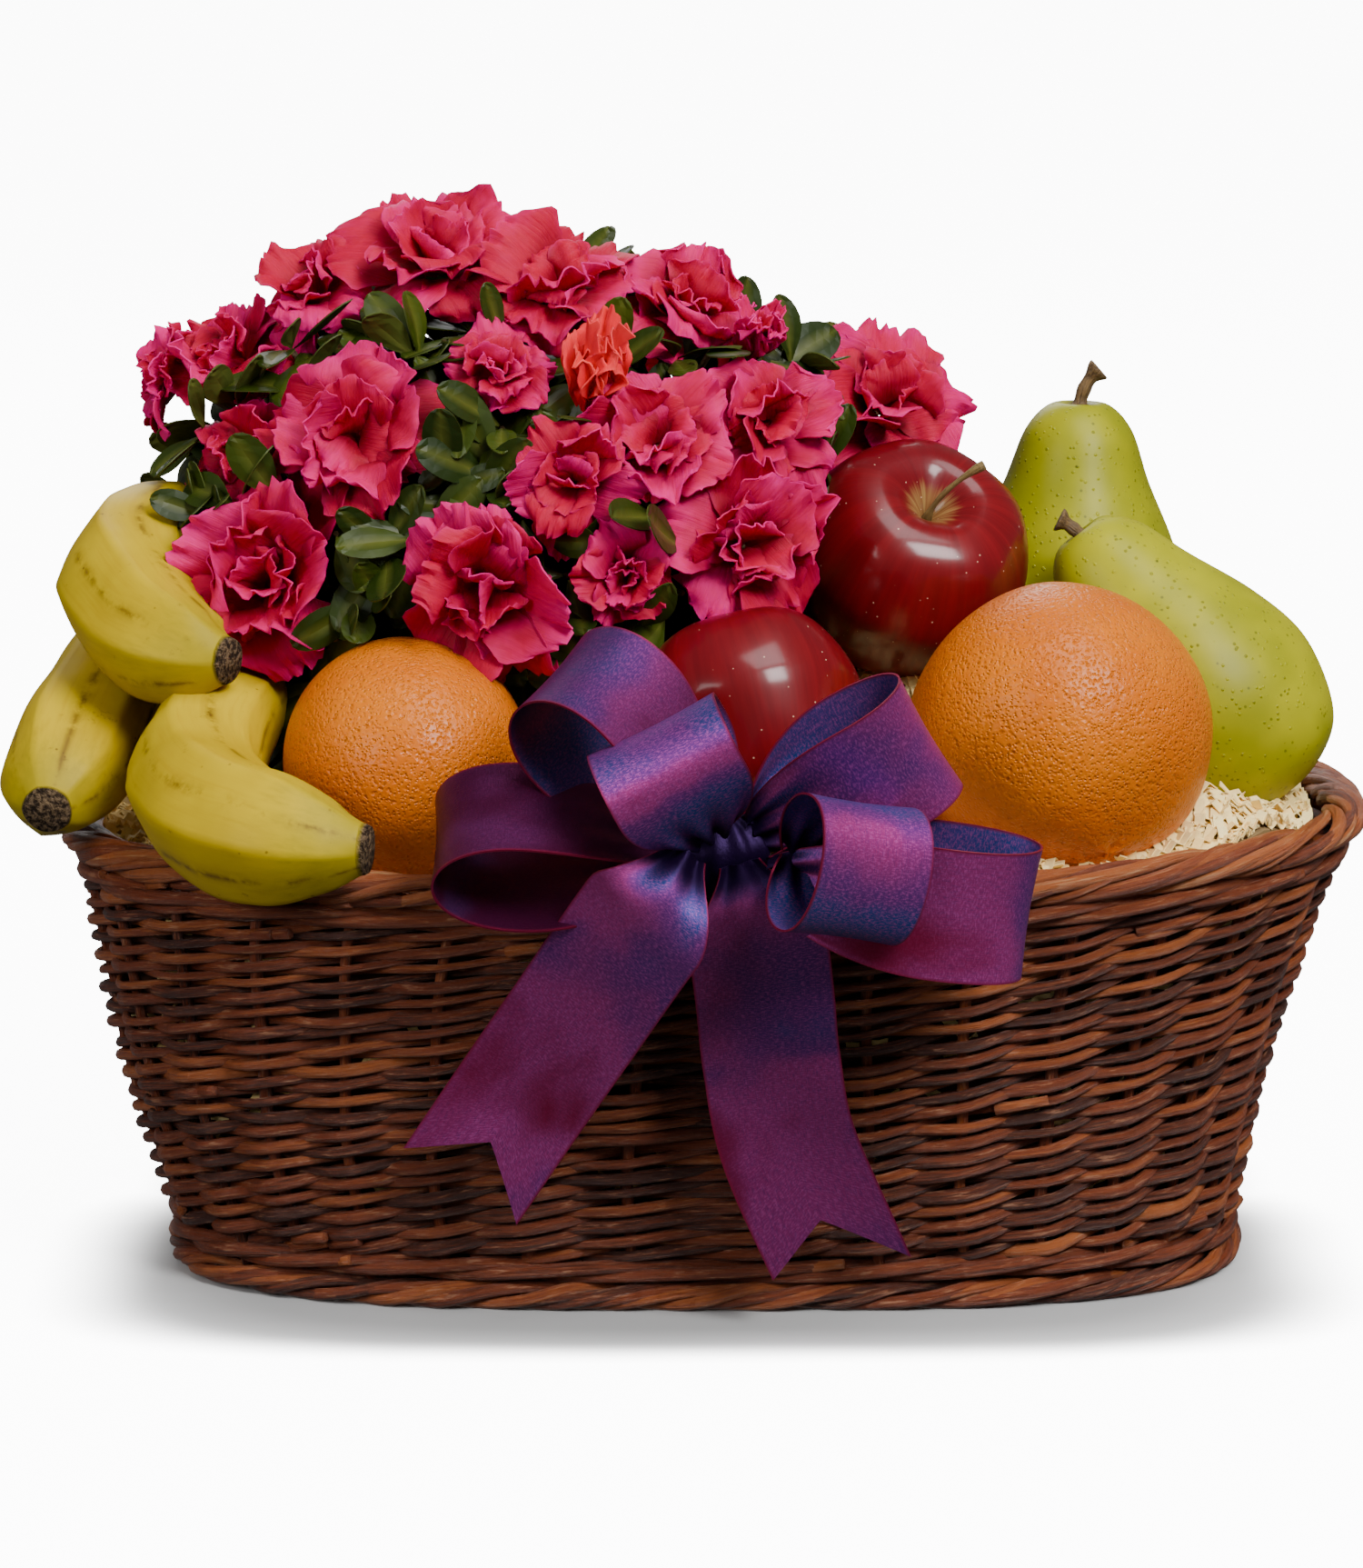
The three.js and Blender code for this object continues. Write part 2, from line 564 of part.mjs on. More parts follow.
// A flat ribbon along a line. Where it ends in a notch, each section has a middle point as well, and
// "back" draws that point in.
function ribbon(stations) {
	const notched = stations.some(({ back }) => back);
	const sections = stations.map(({ middle, across, normal, width, back = 0 }) => {
		const side = across.clone().multiplyScalar(width / 2);
		const lift = normal.clone().multiplyScalar(RIBBON.thickness / 2);
		const centre = middle.clone().sub(normal.clone().cross(across).multiplyScalar(back));
		const line = [middle.clone().sub(side), ...(notched ? [centre] : []), middle.clone().add(side)];
		return [...line.map((p) => p.clone().add(lift)), ...line.reverse().map((p) => p.clone().sub(lift))];
	});
	return solid(skin(sections, { strip: true }));
}

// A loop of the bow: out from the knot on one side of a teardrop and back on the other.
function bowLoop({ from, out, across, length, open }) {
	const ahead = vec(...out).normalize();
	const side = vec(...across);
	side.addScaledVector(ahead, -side.dot(ahead)).normalize();
	const depth = ahead.clone().cross(side);
	const steps = 12;
	const place = (t) => {
		const swing = Math.sin(TAU * t) * Math.sin(Math.PI * t) * 1.3;
		return vec(...KNOT.at).add(vec(...from)).addScaledVector(ahead, length * (1 - Math.cos(TAU * t)) / 2)
			.addScaledVector(depth, (open / 2) * swing + 1.5 * (1 - 2 * t));
	};
	return ribbon(times(steps + 1, (k) => {
		const t = k / steps;
		const run = place(Math.min(1, t + 0.01)).sub(place(Math.max(0, t - 0.01))).normalize();
		const pinch = 1 - RIBBON.pinch * (1 - ease(Math.sin(Math.PI * t), 0, 0.8));
		return { middle: place(t), across: side, normal: side.clone().cross(run), width: RIBBON.width * pinch };
	}));
}

// A tail of the bow: it hangs in front of the wall and ends in a swallow's notch.
function bowTail({ route, slant }) {
	const curve = new THREE.CatmullRomCurve3(route.map(([x, z]) => (
		vec(x, wallFront(x, z) - TAIL_STAND_OFF, z))));
	const steps = 8;
	return ribbon(times(steps + 1, (k) => {
		const t = k / steps;
		const run = curve.getTangent(t);
		const across = run.clone().cross(vec(0, -1, 0.25)).normalize();
		const normal = across.clone().cross(run);
		const width = RIBBON.width * mix(0.4, 1, ease(t, 0, 0.35));
		across.addScaledVector(run, -(slant / RIBBON.width) * ease(t, 0.6, 1));
		return { middle: curve.getPoint(t), across, normal, width, back: k === steps ? NOTCH : 0 };
	}));
}

function bowKnot() {
	const ball = new THREE.SphereGeometry(1, 10, 6);
	const [x, y, z] = KNOT.at;
	ball.scale(...KNOT.half).translate(x, y + KNOT.behind, z);
	return solid(ball);
}

const model = new THREE.Group();
const finish = (color, roughness, metalness = 0) => ({ color, roughness, metalness });
const FINISHES = {
	willow: finish(0x4a2413, 0.55),
	paper: finish(0xe8d9b4, 0.85),
	orange: finish(0xf08a14, 0.42),
	apple: finish(0x8a0f1c, 0.18),
	pear: finish(0xa6b33a, 0.4),
	banana: finish(0xe6c62a, 0.45),
	stem: finish(0x5a3d20, 0.8),
	foliage: finish(0x2c4a1e, 0.4),
	blossom: finish(0xd51f54, 0.6),
	ribbon: finish(0x5a2070, 0.35),
};

// Adds a piece, first cut clear of every piece before it that it would touch.
const placed = [];
function add(name, body, material, { fit = true } = {}) {
	const near = fit ? placed.filter((other) => !apart(body, other)) : [];
	const cut = near.reduce((rest, other) => (
		grown(other, 0.05).intersect(rest).isEmpty() ? rest : rest.subtract(grown(other))), body);
	const piece = fit ? biggest(cut) : body;
	placed.push(piece);
	const mesh = new THREE.Mesh(geometryOf(piece), new THREE.MeshStandardMaterial(FINISHES[material]));
	mesh.name = name;
	model.add(mesh);
	return piece;
}

add('basket_wall', basketWall(), 'willow', { fit: false });
add('basket_rim', basketRim(), 'willow', { fit: false });
add('basket_foot', basketFoot(), 'willow', { fit: false });

add('orange_right', orange(FRUIT.orange_right), 'orange');
add('orange_left', orange(FRUIT.orange_left), 'orange');
['apple_low', 'apple_high'].forEach((name) => {
	add(name, apple(FRUIT[name]), 'apple');
});
add('apple_high_stem', stem(FRUIT.apple_high, 20, 26, [0.42, 0.1, 0.05]), 'stem');
add('apple_low_stem', stem(FRUIT.apple_low, 19.5, 16, [-0.2, 0, 0]), 'stem');
add('pear_back', pear(FRUIT.pear_back), 'pear');
add('pear_back_stem', stem(FRUIT.pear_back, 65.2, 15, [0.3, 0, 0]), 'stem');
add('pear_front', pear(FRUIT.pear_front), 'pear');
add('pear_front_stem', stem(FRUIT.pear_front, 66.5, 7, [-0.3, 0, 0]), 'stem');
Object.entries(BANANAS).forEach(([name, shape]) => add(name, banana(shape), 'banana'));

FLOWERS.forEach((spec, index) => {
	add(`azalea_flower_${String(index + 1).padStart(2, '0')}`, flower(spec, index), 'blossom');
});
add('azalea_bud_coral', bud([-32, -38, 258], 26, 10, [0.15, -0.3, 0.9]), 'blossom');
add('azalea_bud_pink', bud([16, -4, 266], 18, 7, [0.3, -0.4, 0.8]), 'blossom');

add('bow_knot', bowKnot(), 'ribbon');
LOOPS.forEach((spec) => add(`bow_loop_${spec.name}`, bowLoop(spec), 'ribbon'));
Object.entries(TAILS).forEach(([name, route]) => add(name, bowTail(route), 'ribbon'));

add('azalea_foliage', foliage(placed), 'foliage');

// The paper goes in last, cut to the shape of all that it carries.
const { core, strips } = paperBed();
const bedded = placed.reduce((rest, other) => (apart(rest, other) ? rest : rest.subtract(grown(other))), core);
const loose = strips.filter((strip) => placed.every((other) => strip.intersect(grown(other)).isEmpty()));
add('paper_bed', biggest(loose.reduce((rest, strip) => rest.add(strip), bedded)), 'paper', { fit: false });

export default model;
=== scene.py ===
"""A fruit gift basket with a flowering azalea and a bow of shot ribbon, dressed over its solid frame.

Shapes are worked out in millimetres as whole arrays and turned to metres when a mesh is made.
+Z is up, and the front of the basket faces -Y.
"""
import math

import bmesh
import bpy
import numpy as np
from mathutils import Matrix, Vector


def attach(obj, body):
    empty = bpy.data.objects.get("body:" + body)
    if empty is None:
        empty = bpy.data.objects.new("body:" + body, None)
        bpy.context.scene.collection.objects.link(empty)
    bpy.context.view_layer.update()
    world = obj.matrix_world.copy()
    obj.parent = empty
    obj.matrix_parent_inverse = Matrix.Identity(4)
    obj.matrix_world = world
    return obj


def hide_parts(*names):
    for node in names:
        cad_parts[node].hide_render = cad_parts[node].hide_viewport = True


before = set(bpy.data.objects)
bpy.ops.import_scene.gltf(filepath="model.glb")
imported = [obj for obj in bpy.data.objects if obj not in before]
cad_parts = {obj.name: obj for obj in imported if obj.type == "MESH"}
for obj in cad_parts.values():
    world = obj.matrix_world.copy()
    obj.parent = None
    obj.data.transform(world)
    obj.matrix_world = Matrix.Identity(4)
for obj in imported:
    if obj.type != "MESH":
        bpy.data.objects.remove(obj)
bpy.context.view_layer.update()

MM = 0.001
TAU = 2 * math.pi
UP = np.array([0, 0, 1.0])

# The basket, as in the solid part. The rope of each border: its rods, how often each goes round the
# others, how far it swings out and up, its radius and the range of its tones
RIM = dict(half_width=190, half_depth=122, square=2.5, top=130, width=14, height=11, rise=5, lean=2.4,
           rods=10, turns=9, spread=(4.8, 3.5), radius=1.62, tones=(0.2, 1.05))
FOOT = dict(half_width=157, half_depth=92, square=3.2, top=8, width=10, height=8, rise=0, lean=0,
            rods=7, turns=11, spread=(3.4, 2.4), radius=1.75, tones=(0.05, 0.75))
WALL = dict(flare=0.97, set_in=3)
STAKES = 34
BED = dict(edge=121, mound=20)
HEAPS = [((147, -56), (22, 16), 11), ((110, 52), (34, 28), 15), ((62, 2), (34, 30), 30),
         ((-60, -92), (60, 20), -9)]
# The paper: how many strips lie loose, how many of them at its edge and how many stand hidden inside
# the weave, their half width and thickness, and how far inside the rim the loose ones start
STRIPS = dict(loose=1800, at_edge=760, hidden=340, half_width=1.5, thickness=0.35, inset=15)

# The weave: where its rods start and end up the wall, how many there are, how many stakes each one
# passes, and how far they swing in and out and dip round a stake
WEAVE = dict(low=14.5, high=117.5, rods=54, span=26, middle=-3.4, swing=2.9, dip=0.4, radius=1.62)
TIP_HEIGHTS = [12, 18, 60, 108, 113, 115, 118]

# Round fruit: middle, radius, the way the stem end points, and the seed of its slow lumps
ROUND_FRUIT = {
    "orange_right": dict(at=(100, -58, 160), radius=43.2, up=(-0.3, 0.65, 0.7), lumps=3),
    "orange_left": dict(at=(-83.5, -63, 152), radius=36, up=(0.66, 0.1, 0.74), lumps=3),
    "apple_high": dict(at=(59, 0, 199.5), radius=34.5, up=(0.25, -0.59, 0.77), lumps=8),
    "apple_low": dict(at=(13, -59, 163), radius=33, up=(-0.25, 0.5, 0.83), lumps=8),
    "pear_back": dict(at=(110, 52, 174), radius=33.5, up=(0.02, 0.02, 1), lumps=13),
    "pear_front": dict(at=(150, 0, 156), radius=32.5, up=(-0.62, 0.1, 0.77), lumps=14),
}
# Half outlines from the bottom up: an apple's by its radius, a pear's by its radius and its length
APPLE_OUTLINE = [(0, -0.78), (0.28, -0.86), (0.72, -0.66), (0.96, -0.1), (0.97, 0.26), (0.78, 0.68),
                 (0.46, 0.84), (0.2, 0.72), (0, 0.5)]
PEAR_OUTLINE = [(0, 0.03), (0.3, 0), (0.78, 0.09), (1, 0.31), (0.9, 0.54), (0.64, 0.76), (0.47, 0.92),
                (0.24, 1), (0, 0.985)]
PEAR_LENGTH = 96
# Stems: the fruit, how far up its axis the stem starts, its length, lean, stoutness and paleness
STEMS = {
    "apple_high_stem": ("apple_high", 20, 26, (0.42, 0.1, 0.05), 0.85, 0.8),
    "apple_low_stem": ("apple_low", 19.5, 16, (-0.2, 0, 0), 1.0, 0.0),
    "pear_back_stem": ("pear_back", 64.2, 16, (0.35, 0, 0), 2.15, 0.0),
    "pear_front_stem": ("pear_front", 65.5, 9, (-0.3, 0, 0), 2.1, 0.0),
}
# Bananas: the middle line from the stub to the flower end, and the radius at each of its points
BANANAS = {
    "banana_top": (
        [(-140, 20, 212), (-158, 2, 206), (-166, -20, 197), (-158, -44, 187), (-145, -60, 183),
         (-133, -67, 182)],
        [9, 17.5, 19, 18, 14, 6],
    ),
    "banana_left": (
        [(-158, 30, 178), (-168, 6, 171), (-175, -20, 160), (-181, -43, 149.5), (-184, -60, 143),
         (-185, -71, 140)],
        [10, 16.5, 18.5, 18.5, 14, 6],
    ),
    "banana_front": (
        [(-126, -26, 166), (-138, -52, 160), (-143, -76, 151), (-136, -99, 144.5),
         (-120, -114, 141.5), (-105, -121, 140), (-92, -124, 139.5)],
        [9, 17, 18.5, 19.5, 19, 14, 6],
    ),
}

# The azalea: its leafy dome, its flowers and buds (middle, radius, the way each opens), the whorls of
# a flower and of a bud, and its leaf clusters
DOME = dict(at=(-50, 22, 196), half=(88, 62, 72), floor=134)
FLOWERS = [
    ((-78, 12, 288), 26, (-0.1, -0.5, 0.85)),
    ((-42, -4, 281), 24, (0.1, -0.65, 0.75)),
    ((-5, 8, 273), 21, (0.3, -0.55, 0.75)),
    ((-114, 14, 277), 18, (-0.4, -0.4, 0.8)),
    ((-138, 14, 258), 20, (-0.6, -0.6, 0.5)),
    ((-157, 22, 250), 15, (-0.9, -0.3, 0.3)),
    ((-99, -36, 241), 25.5, (-0.25, -0.9, 0.35)),
    ((-132, -12, 234), 15, (-0.6, -0.7, 0.3)),
    ((-58, -30, 259), 14.5, (0, -0.75, 0.65)),
    ((53, 24, 243), 25, (0.4, -0.65, 0.55)),
    ((-14, -44, 241), 19, (-0.1, -0.85, 0.5)),
    ((18, -28, 245), 20, (0.35, -0.8, 0.5)),
    ((12, -50, 212), 22.5, (0.25, -0.95, 0.15)),
    ((-37, -55, 231), 17, (-0.05, -0.95, 0.3)),
    ((-22, -60, 205), 14, (0, -0.95, 0)),
    ((-62, -64, 202), 25, (0, -0.95, 0.1)),
    ((-125, -40, 200), 26, (-0.4, -0.9, 0.1)),
    ((-104, 62, 262), 24, (-0.4, 0.6, 0.6)),
    ((-48, 76, 258), 25, (0, 0.75, 0.6)),
    ((8, 68, 248), 24, (0.4, 0.7, 0.5)),
    ((-110, 74, 208), 24, (-0.5, 0.8, 0.1)),
    ((-24, 88, 204), 25, (0.1, 0.95, 0)),
]
# Buds have a length too, between the middle and the radius
BUDS = {
    "azalea_bud_coral": ((-32, -38, 258), 26, 10, (0.15, -0.3, 0.9)),
    "azalea_bud_pink": ((16, -4, 266), 18, 7, (0.3, -0.4, 0.8)),
}
# Whorls: petals, length and half width by the flower's radius or the bud's length, slope at the
# throat and the tip in degrees, ruffle, and where the throat stands
WHORLS = [
    (5, 1.22, 0.62, (56, -8), 0.095, -0.36),
    (3, 1.02, 0.6, (62, 12), 0.1, -0.3),
    (3, 0.78, 0.54, (68, 30), 0.085, -0.22),
    (3, 0.52, 0.4, (76, 44), 0.06, -0.1),
]
BUD_WHORLS = [
    (4, 1.25, 0.42, (88, 66), 0.09, 0.0),
    (4, 1.05, 0.36, (90, 78), 0.1, 0.02),
    (3, 0.85, 0.26, (90, 86), 0.08, 0.04),
]
PETAL_THICKNESS = 0.45
LEAF_CLUSTERS = [
    (-151, -5, 242), (-149, -10, 227), (-141, -5, 250), (-140, -28, 233), (-146, -25, 217),
    (-124, 0, 268), (-114, -2, 268), (-84, -20, 266), (-71, -33, 257), (-69, -42, 241),
    (-58, -42, 248), (-49, -38, 241), (-46, -33, 262), (-30, -46, 249), (-22, 2, 276),
    (-34, -18, 275), (6, -8, 270), (24, 0, 260), (12, -8, 252), (-6, -52, 232),
    (-3, -60, 212), (-4, -60, 199), (-38, -58, 204), (-46, -58, 215), (-92, -56, 212),
    (-81, -58, 215), (-91, -58, 193), (-108, -56, 184), (-34, -60, 190), (-18, -60, 188),
    (29, -3, 246), (36, -8, 238), (-112, -43, 220), (-132, -38, 213), (-66, -3, 272),
    (-140, -30, 196), (-60, -10, 268), (-86, -5, 270), (-30, -30, 262), (-138, -36, 222),
    (-124, -44, 224), (-152, -15, 212), (-147, -22, 205), (-108, -50, 216), (-60, -48, 232),
    (-52, -52, 222), (-64, -52, 223), (-74, -52, 230), (-88, -60, 203), (-99, -56, 197),
    (30, 4, 262), (22, -10, 266), (38, 2, 255), (-28, -56, 219), (-10, -56, 222),
    (-112, -45, 170), (-118, -35, 160), (-104, -52, 162), (-125, -20, 165), (-130, -5, 175),
    (-98, -50, 174), (-120, -30, 180), (-122, -5, 160), (-126, 10, 156), (-116, -22, 164),
    (-124, 25, 158), (-114, -40, 166), (-76, -32, 248), (-70, -26, 240), (-40, -44, 232),
]
SPIRAL_CLUSTERS = 150
CLUSTER_LEAVES = 7

# The bow. Loops: where each starts from the knot, the way it runs out, the way across the ribbon, its reach
# and how far it stands open, how warm its colour is and its share of painted shade. Tails: the middle
# line, how far the cut slants, how warm, how cool in one place near the top, and the share of painted shade
RIBBON = dict(width=38, thickness=0.6, pinch=0.66)
KNOT = dict(at=(5, -133, 138), behind=6, half=(14, 10, 12))
LOOPS = {
    "high_left": dict(start=(-6, 3, 10), out=(-0.7, 0.05, 0.71), across=(0.42, 0.78, 0.45),
                      length=58, open=31, warm=0.14, shade_depth=0.58),
    "high_right": dict(start=(8, 3, 8), out=(0.86, 0.02, 0.49), across=(0.6, 0.31, -0.73),
                       length=55, open=20, warm=-0.05, shade_depth=0.1),
    "low_left": dict(start=(-10, 2, 1), out=(-1, -0.03, 0.06), across=(-0.14, 0.86, 0.46),
                     length=69, open=27, warm=1.15, shade_depth=0.74),
    "low_right": dict(start=(11, -4, -4), out=(0.96, 0.03, -0.13), across=(0.31, -0.14, 0.94),
                      length=73, open=22, warm=0.2, shade_depth=0.0),
    "front_left": dict(start=(-4, -10, 9), out=(-0.42, -0.38, 0.83), across=(0.88, 0, 0.47),
                       length=37, open=26, warm=0.06, shade_depth=0.0),
    "front_right": dict(start=(20, -5, 3), out=(0.58, -0.8, -0.03), across=(0.78, 0.58, -0.22),
                        length=34, open=36, warm=-0.18, shade_depth=0.0),
}
TAILS = {
    "bow_tail_left": ([(-5, -147, 143), (-13, -154, 131), (-22, -147, 117), (-35, -133, 95),
                       (-51, -120, 69), (-68, -112, 42)], 0, -0.22, 0.5, 0.1),
    "bow_tail_right": ([(9, -141, 139), (13, -142, 124), (16, -132, 100), (18, -124, 80),
                        (23, -116, 54), (38, -106, 17)], 12, -0.12, 0.15, 0.3),
}
TAIL_STAND_OFF = 4.5
NOTCH = 16


# ---- numbers

def ease(x, low, high):
    """The share of the way from low to high, t, eased at both ends: 3t² - 2t³."""
    t = np.clip((x - low) / (high - low), 0, 1)
    return t * t * (3 - 2 * t)


def between(first, last, t):
    """The value a share of the way from the first to the last."""
    return first + (last - first) * t


def unit(v):
    """Each vector divided by its length."""
    v = np.asarray(v, float)
    return v / np.maximum(np.linalg.norm(v, axis=-1, keepdims=True), 1e-9)


def square_to(way, v):
    """What is left of each vector once its part along the way is taken off, divided by its length."""
    v = np.asarray(v, float)
    return unit(v - (v * way).sum(-1, keepdims=True) * way)


def together(*numbers):
    """Numbers and arrays spread over each other and laid side by side along a last axis."""
    return np.stack(np.broadcast_arrays(*numbers), -1)


def looks(first=0.0, second=0.0, third=0.0):
    """The four numbers for the paint, of which the last is one."""
    return together(first, second, third, 1.0)


def stepped(start, *steps):
    """A start and steps away from it, each an array of distances and the direction they run in."""
    return start + sum(np.asarray(distance)[..., None] * direction for distance, direction in steps)


def ball(polar, angle):
    """Points one away from the middle: (sin p cos a, sin p sin a, cos p)."""
    return together(np.sin(polar) * np.cos(angle), np.sin(polar) * np.sin(angle), np.cos(polar))


def turns_of(count):
    """Even steps of angle once round, as a row."""
    return TAU * np.arange(count)[None] / count


def waves(points, size, seed, count=7):
    """Smooth unevenness between about -1 and 1: the scaled mean of sine waves about size long, each
    running its own random way through the points."""
    rng = np.random.default_rng(seed)
    ways = unit(rng.normal(size=(count, 3))) * (TAU / size) * rng.uniform(0.6, 1.5, (count, 1))
    return np.sin(points @ ways.T + rng.uniform(0, TAU, count)).mean(-1) * 1.7


def spline(points, count):
    """Evenly numbered points of the Catmull-Rom curve through the given ones, run straight on past
    its two ends."""
    p = np.asarray(points, float)
    run = np.vstack([2 * p[0] - p[1], p, 2 * p[-1] - p[-2]])
    at = np.linspace(0, len(p) - 1, count)
    i = np.minimum(at.astype(int), len(p) - 2)
    t = (at - i)[:, None]
    a, b, c, d = (run[i + k] for k in range(4))
    return 0.5 * (2 * b + (c - a) * t + (2 * a - 5 * b + 4 * c - d) * t ** 2
                  + (3 * b - a - 3 * c + d) * t ** 3)


def bent(start, bend, end, t):
    """A curve that leaves the start towards the bend: (1 - t)² start + 2t (1 - t) bend + t² end."""
    return (1 - t) ** 2 * start + 2 * t * (1 - t) * bend + t ** 2 * end


def turned(points, up, spin=0.0):
    """The points spun round +Z and then turned the shortest way that takes +Z to up."""
    turn = Vector((0, 0, 1)).rotation_difference(Vector(up).normalized()).to_matrix()
    c, s = math.cos(spin), math.sin(spin)
    matrix = np.array(turn) @ np.array([[c, -s, 0], [s, c, 0], [0, 0, 1]])
    return points @ matrix.T


# ---- meshes

def repeated(faces, each, copies):
    """The faces of one shape, numbered on for each further copy of its points."""
    return (faces[None] + each * np.arange(copies)[:, None, None]).reshape(-1, faces.shape[-1])


def tube_faces(rows, cols, copies=1, ring=False):
    """Quads round tubes of rows of cols points, with a last band back to the first row for a ring,
    or else a fan over each end round a point that follows the rows."""
    i = np.arange(cols)
    j = np.roll(i, -1)
    here = np.arange(rows if ring else rows - 1)[:, None] * cols
    after = (here + cols) % (rows * cols)
    quads = together(here + i, here + j, after + j, after + i).reshape(-1, 4)
    if ring:
        return [repeated(quads, rows * cols, copies)]
    last, middle = (rows - 1) * cols, rows * cols
    fans = np.vstack([together(j, i, middle), together(last + i, last + j, middle + 1)])
    return [repeated(faces, middle + 2, copies) for faces in (quads, fans)]


def sheet_faces(rows, cols, copies=1):
    """Quads of thin closed sheets whose rows run along the upper face and back along the lower one,
    with a row of quads over each end."""
    around = 2 * cols
    quads = tube_faces(rows, around, ring=True)[0][:(rows - 1) * around]
    i = np.arange(cols - 1)
    start = together(around - 1 - i, around - 2 - i, i + 1, i)
    end = start[:, ::-1] + (rows - 1) * around
    return [repeated(np.vstack([quads, start, end]), rows * around, copies)]


def normals(grid):
    """The way along grids of points crossed with the way across, made one long."""
    return unit(np.cross(np.gradient(grid, axis=1), np.gradient(grid, axis=2)))


def linked(name, data):
    """A new object in the scene."""
    obj = bpy.data.objects.new(name, data)
    bpy.context.scene.collection.objects.link(obj)
    return obj


class Parts:
    """Shapes that are gathered to become the mesh of one piece, each with values for its paint:
    grain, a place on the surface in millimetres, and look, four numbers."""

    def __init__(self):
        self.points, self.grain, self.look, self.faces = [], [], [], []
        self.count = 0

    def add(self, points, faces, grain, look):
        """Points with a grain each, a look each or one for all, and faces that count from them."""
        points = points.reshape(-1, 3)
        self.points.append(points)
        self.grain.append(np.reshape(grain, (-1, 3)))
        self.look.append(np.broadcast_to(np.reshape(look, (-1, 4)), (len(points), 4)))
        self.faces += [part + self.count for part in faces]
        self.count += len(points)
        return self

    def tubes(self, path, radius, sides, facing, look, flat=1.0, ring=False, start=0.0):
        """Round rods. Each path has rows of points; across it, out is the facing direction made square
        to the path and side is the way crossed with out, and the point at angle a stands at
        radius x (flat x cos a x out + sin a x side) from the path."""
        copies, rows = path.shape[:2]
        if ring:
            way = np.roll(path, -1, 1) - np.roll(path, 1, 1)
            step = np.roll(path, -1, 1) - path
        else:
            way = step = np.gradient(path, axis=1)
        run = np.cumsum(np.linalg.norm(step, axis=-1), 1) + np.reshape(start, (-1, 1))
        way = unit(way)
        out = square_to(way, facing)
        angle = turns_of(sides)
        radius = np.broadcast_to(radius, path.shape[:2])[:, :, None]
        across, upward = radius * flat * np.cos(angle), radius * np.sin(angle)
        grid = stepped(path[:, :, None], (across, out[:, :, None]), (upward, np.cross(way, out)[:, :, None]))
        grid = grid.reshape(copies, -1, 3)
        grain = together(run[:, :, None], across, upward).reshape(copies, -1, 3)
        look = np.broadcast_to(np.reshape(look, (-1, 1, 4)), (copies, rows * sides, 4))
        if not ring:
            grid = np.concatenate([grid, path[:, [0, -1]]], 1)
            grain = np.concatenate([grain, together(run[:, [0, -1]], 0, 0)], 1)
            look = np.concatenate([look, look[:, :2]], 1)
        return self.add(grid, tube_faces(rows, sides, copies, ring), grain, look)

    def sheets(self, grid, thickness, grain, look):
        """Thin closed sheets over grids of points, whose faces stand half the thickness off the grid
        along its normals. The last number of look is 1 on the upper face and 0 on the lower one."""
        copies, rows, cols = grid.shape[:3]
        lift = normals(grid) * thickness / 2
        look = np.broadcast_to(look, (*grid.shape[:3], 4))
        faces = ((grid + lift, grid - lift), (grain, grain), (look, look * [1, 1, 1, 0]))
        points, grain, look = (np.concatenate([upper, lower[:, :, ::-1]], 2) for upper, lower in faces)
        return self.add(points, sheet_faces(rows, cols, copies), grain, look)

    def body(self, rows, poles, grain=None, look=(0, 0, 0, 1)):
        """A closed round body: a ring of points for each row, and its two end points."""
        points = np.vstack([rows.reshape(-1, 3), poles])
        return self.add(points, tube_faces(*rows.shape[:2]), points if grain is None else grain, look)

    def piece(self, name, paint, slot, nodes=(), sharp=None):
        """The gathered shapes as one object on the root body, in place of the named nodes."""
        mesh = bpy.data.meshes.new(name)
        points = np.vstack(self.points) * MM
        mesh.from_pydata(points.tolist(), [], [face for part in self.faces for face in part.tolist()])
        for title, kind, word, values in (("grain", "FLOAT_VECTOR", "vector", self.grain),
                                          ("look", "FLOAT_COLOR", "color", self.look)):
            layer = mesh.attributes.new(title, kind, "POINT")
            layer.data.foreach_set(word, np.vstack(values).astype(np.float32).ravel())
        shell = bmesh.new()
        shell.from_mesh(mesh)
        bmesh.ops.recalc_face_normals(shell, faces=shell.faces)
        shell.to_mesh(mesh)
        shell.free()
        mesh.polygons.foreach_set("use_smooth", np.ones(len(mesh.polygons), bool))
        if sharp:
            mesh.set_sharp_from_angle(angle=math.radians(sharp))
        mesh.materials.append(paint)
        obj = linked(name, mesh)
        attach(obj, "root")
        if nodes:
            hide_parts(*nodes)
        return obj


# ---- paint

def arithmetic(operation, swapped=False):
    """A method that makes one Math node of a wire and another value, in this order or swapped."""
    return lambda wire, other: wire.math(operation, *((other, wire) if swapped else (wire, other)))


class Wire:
    """A number or colour that runs through a material's nodes."""

    def __init__(self, paint, socket):
        self.paint, self.socket = paint, socket

    def math(self, operation, *values):
        """One Math node."""
        return self.paint.node("ShaderNodeMath", {"operation": operation}, dict(enumerate(values)))

    __add__ = __radd__ = arithmetic("ADD")
    __mul__ = __rmul__ = arithmetic("MULTIPLY")
    __sub__, __rsub__ = arithmetic("SUBTRACT"), arithmetic("SUBTRACT", True)
    __pow__ = arithmetic("POWER")

    def within(self, low, high):
        """0 below low, 1 above high, eased between them; the other way about if low is greater."""
        return self.paint.node("ShaderNodeMapRange", {"interpolation_type": "SMOOTHSTEP"},
                               {0: self, 1: low, 2: high, 3: 0.0, 4: 1.0})


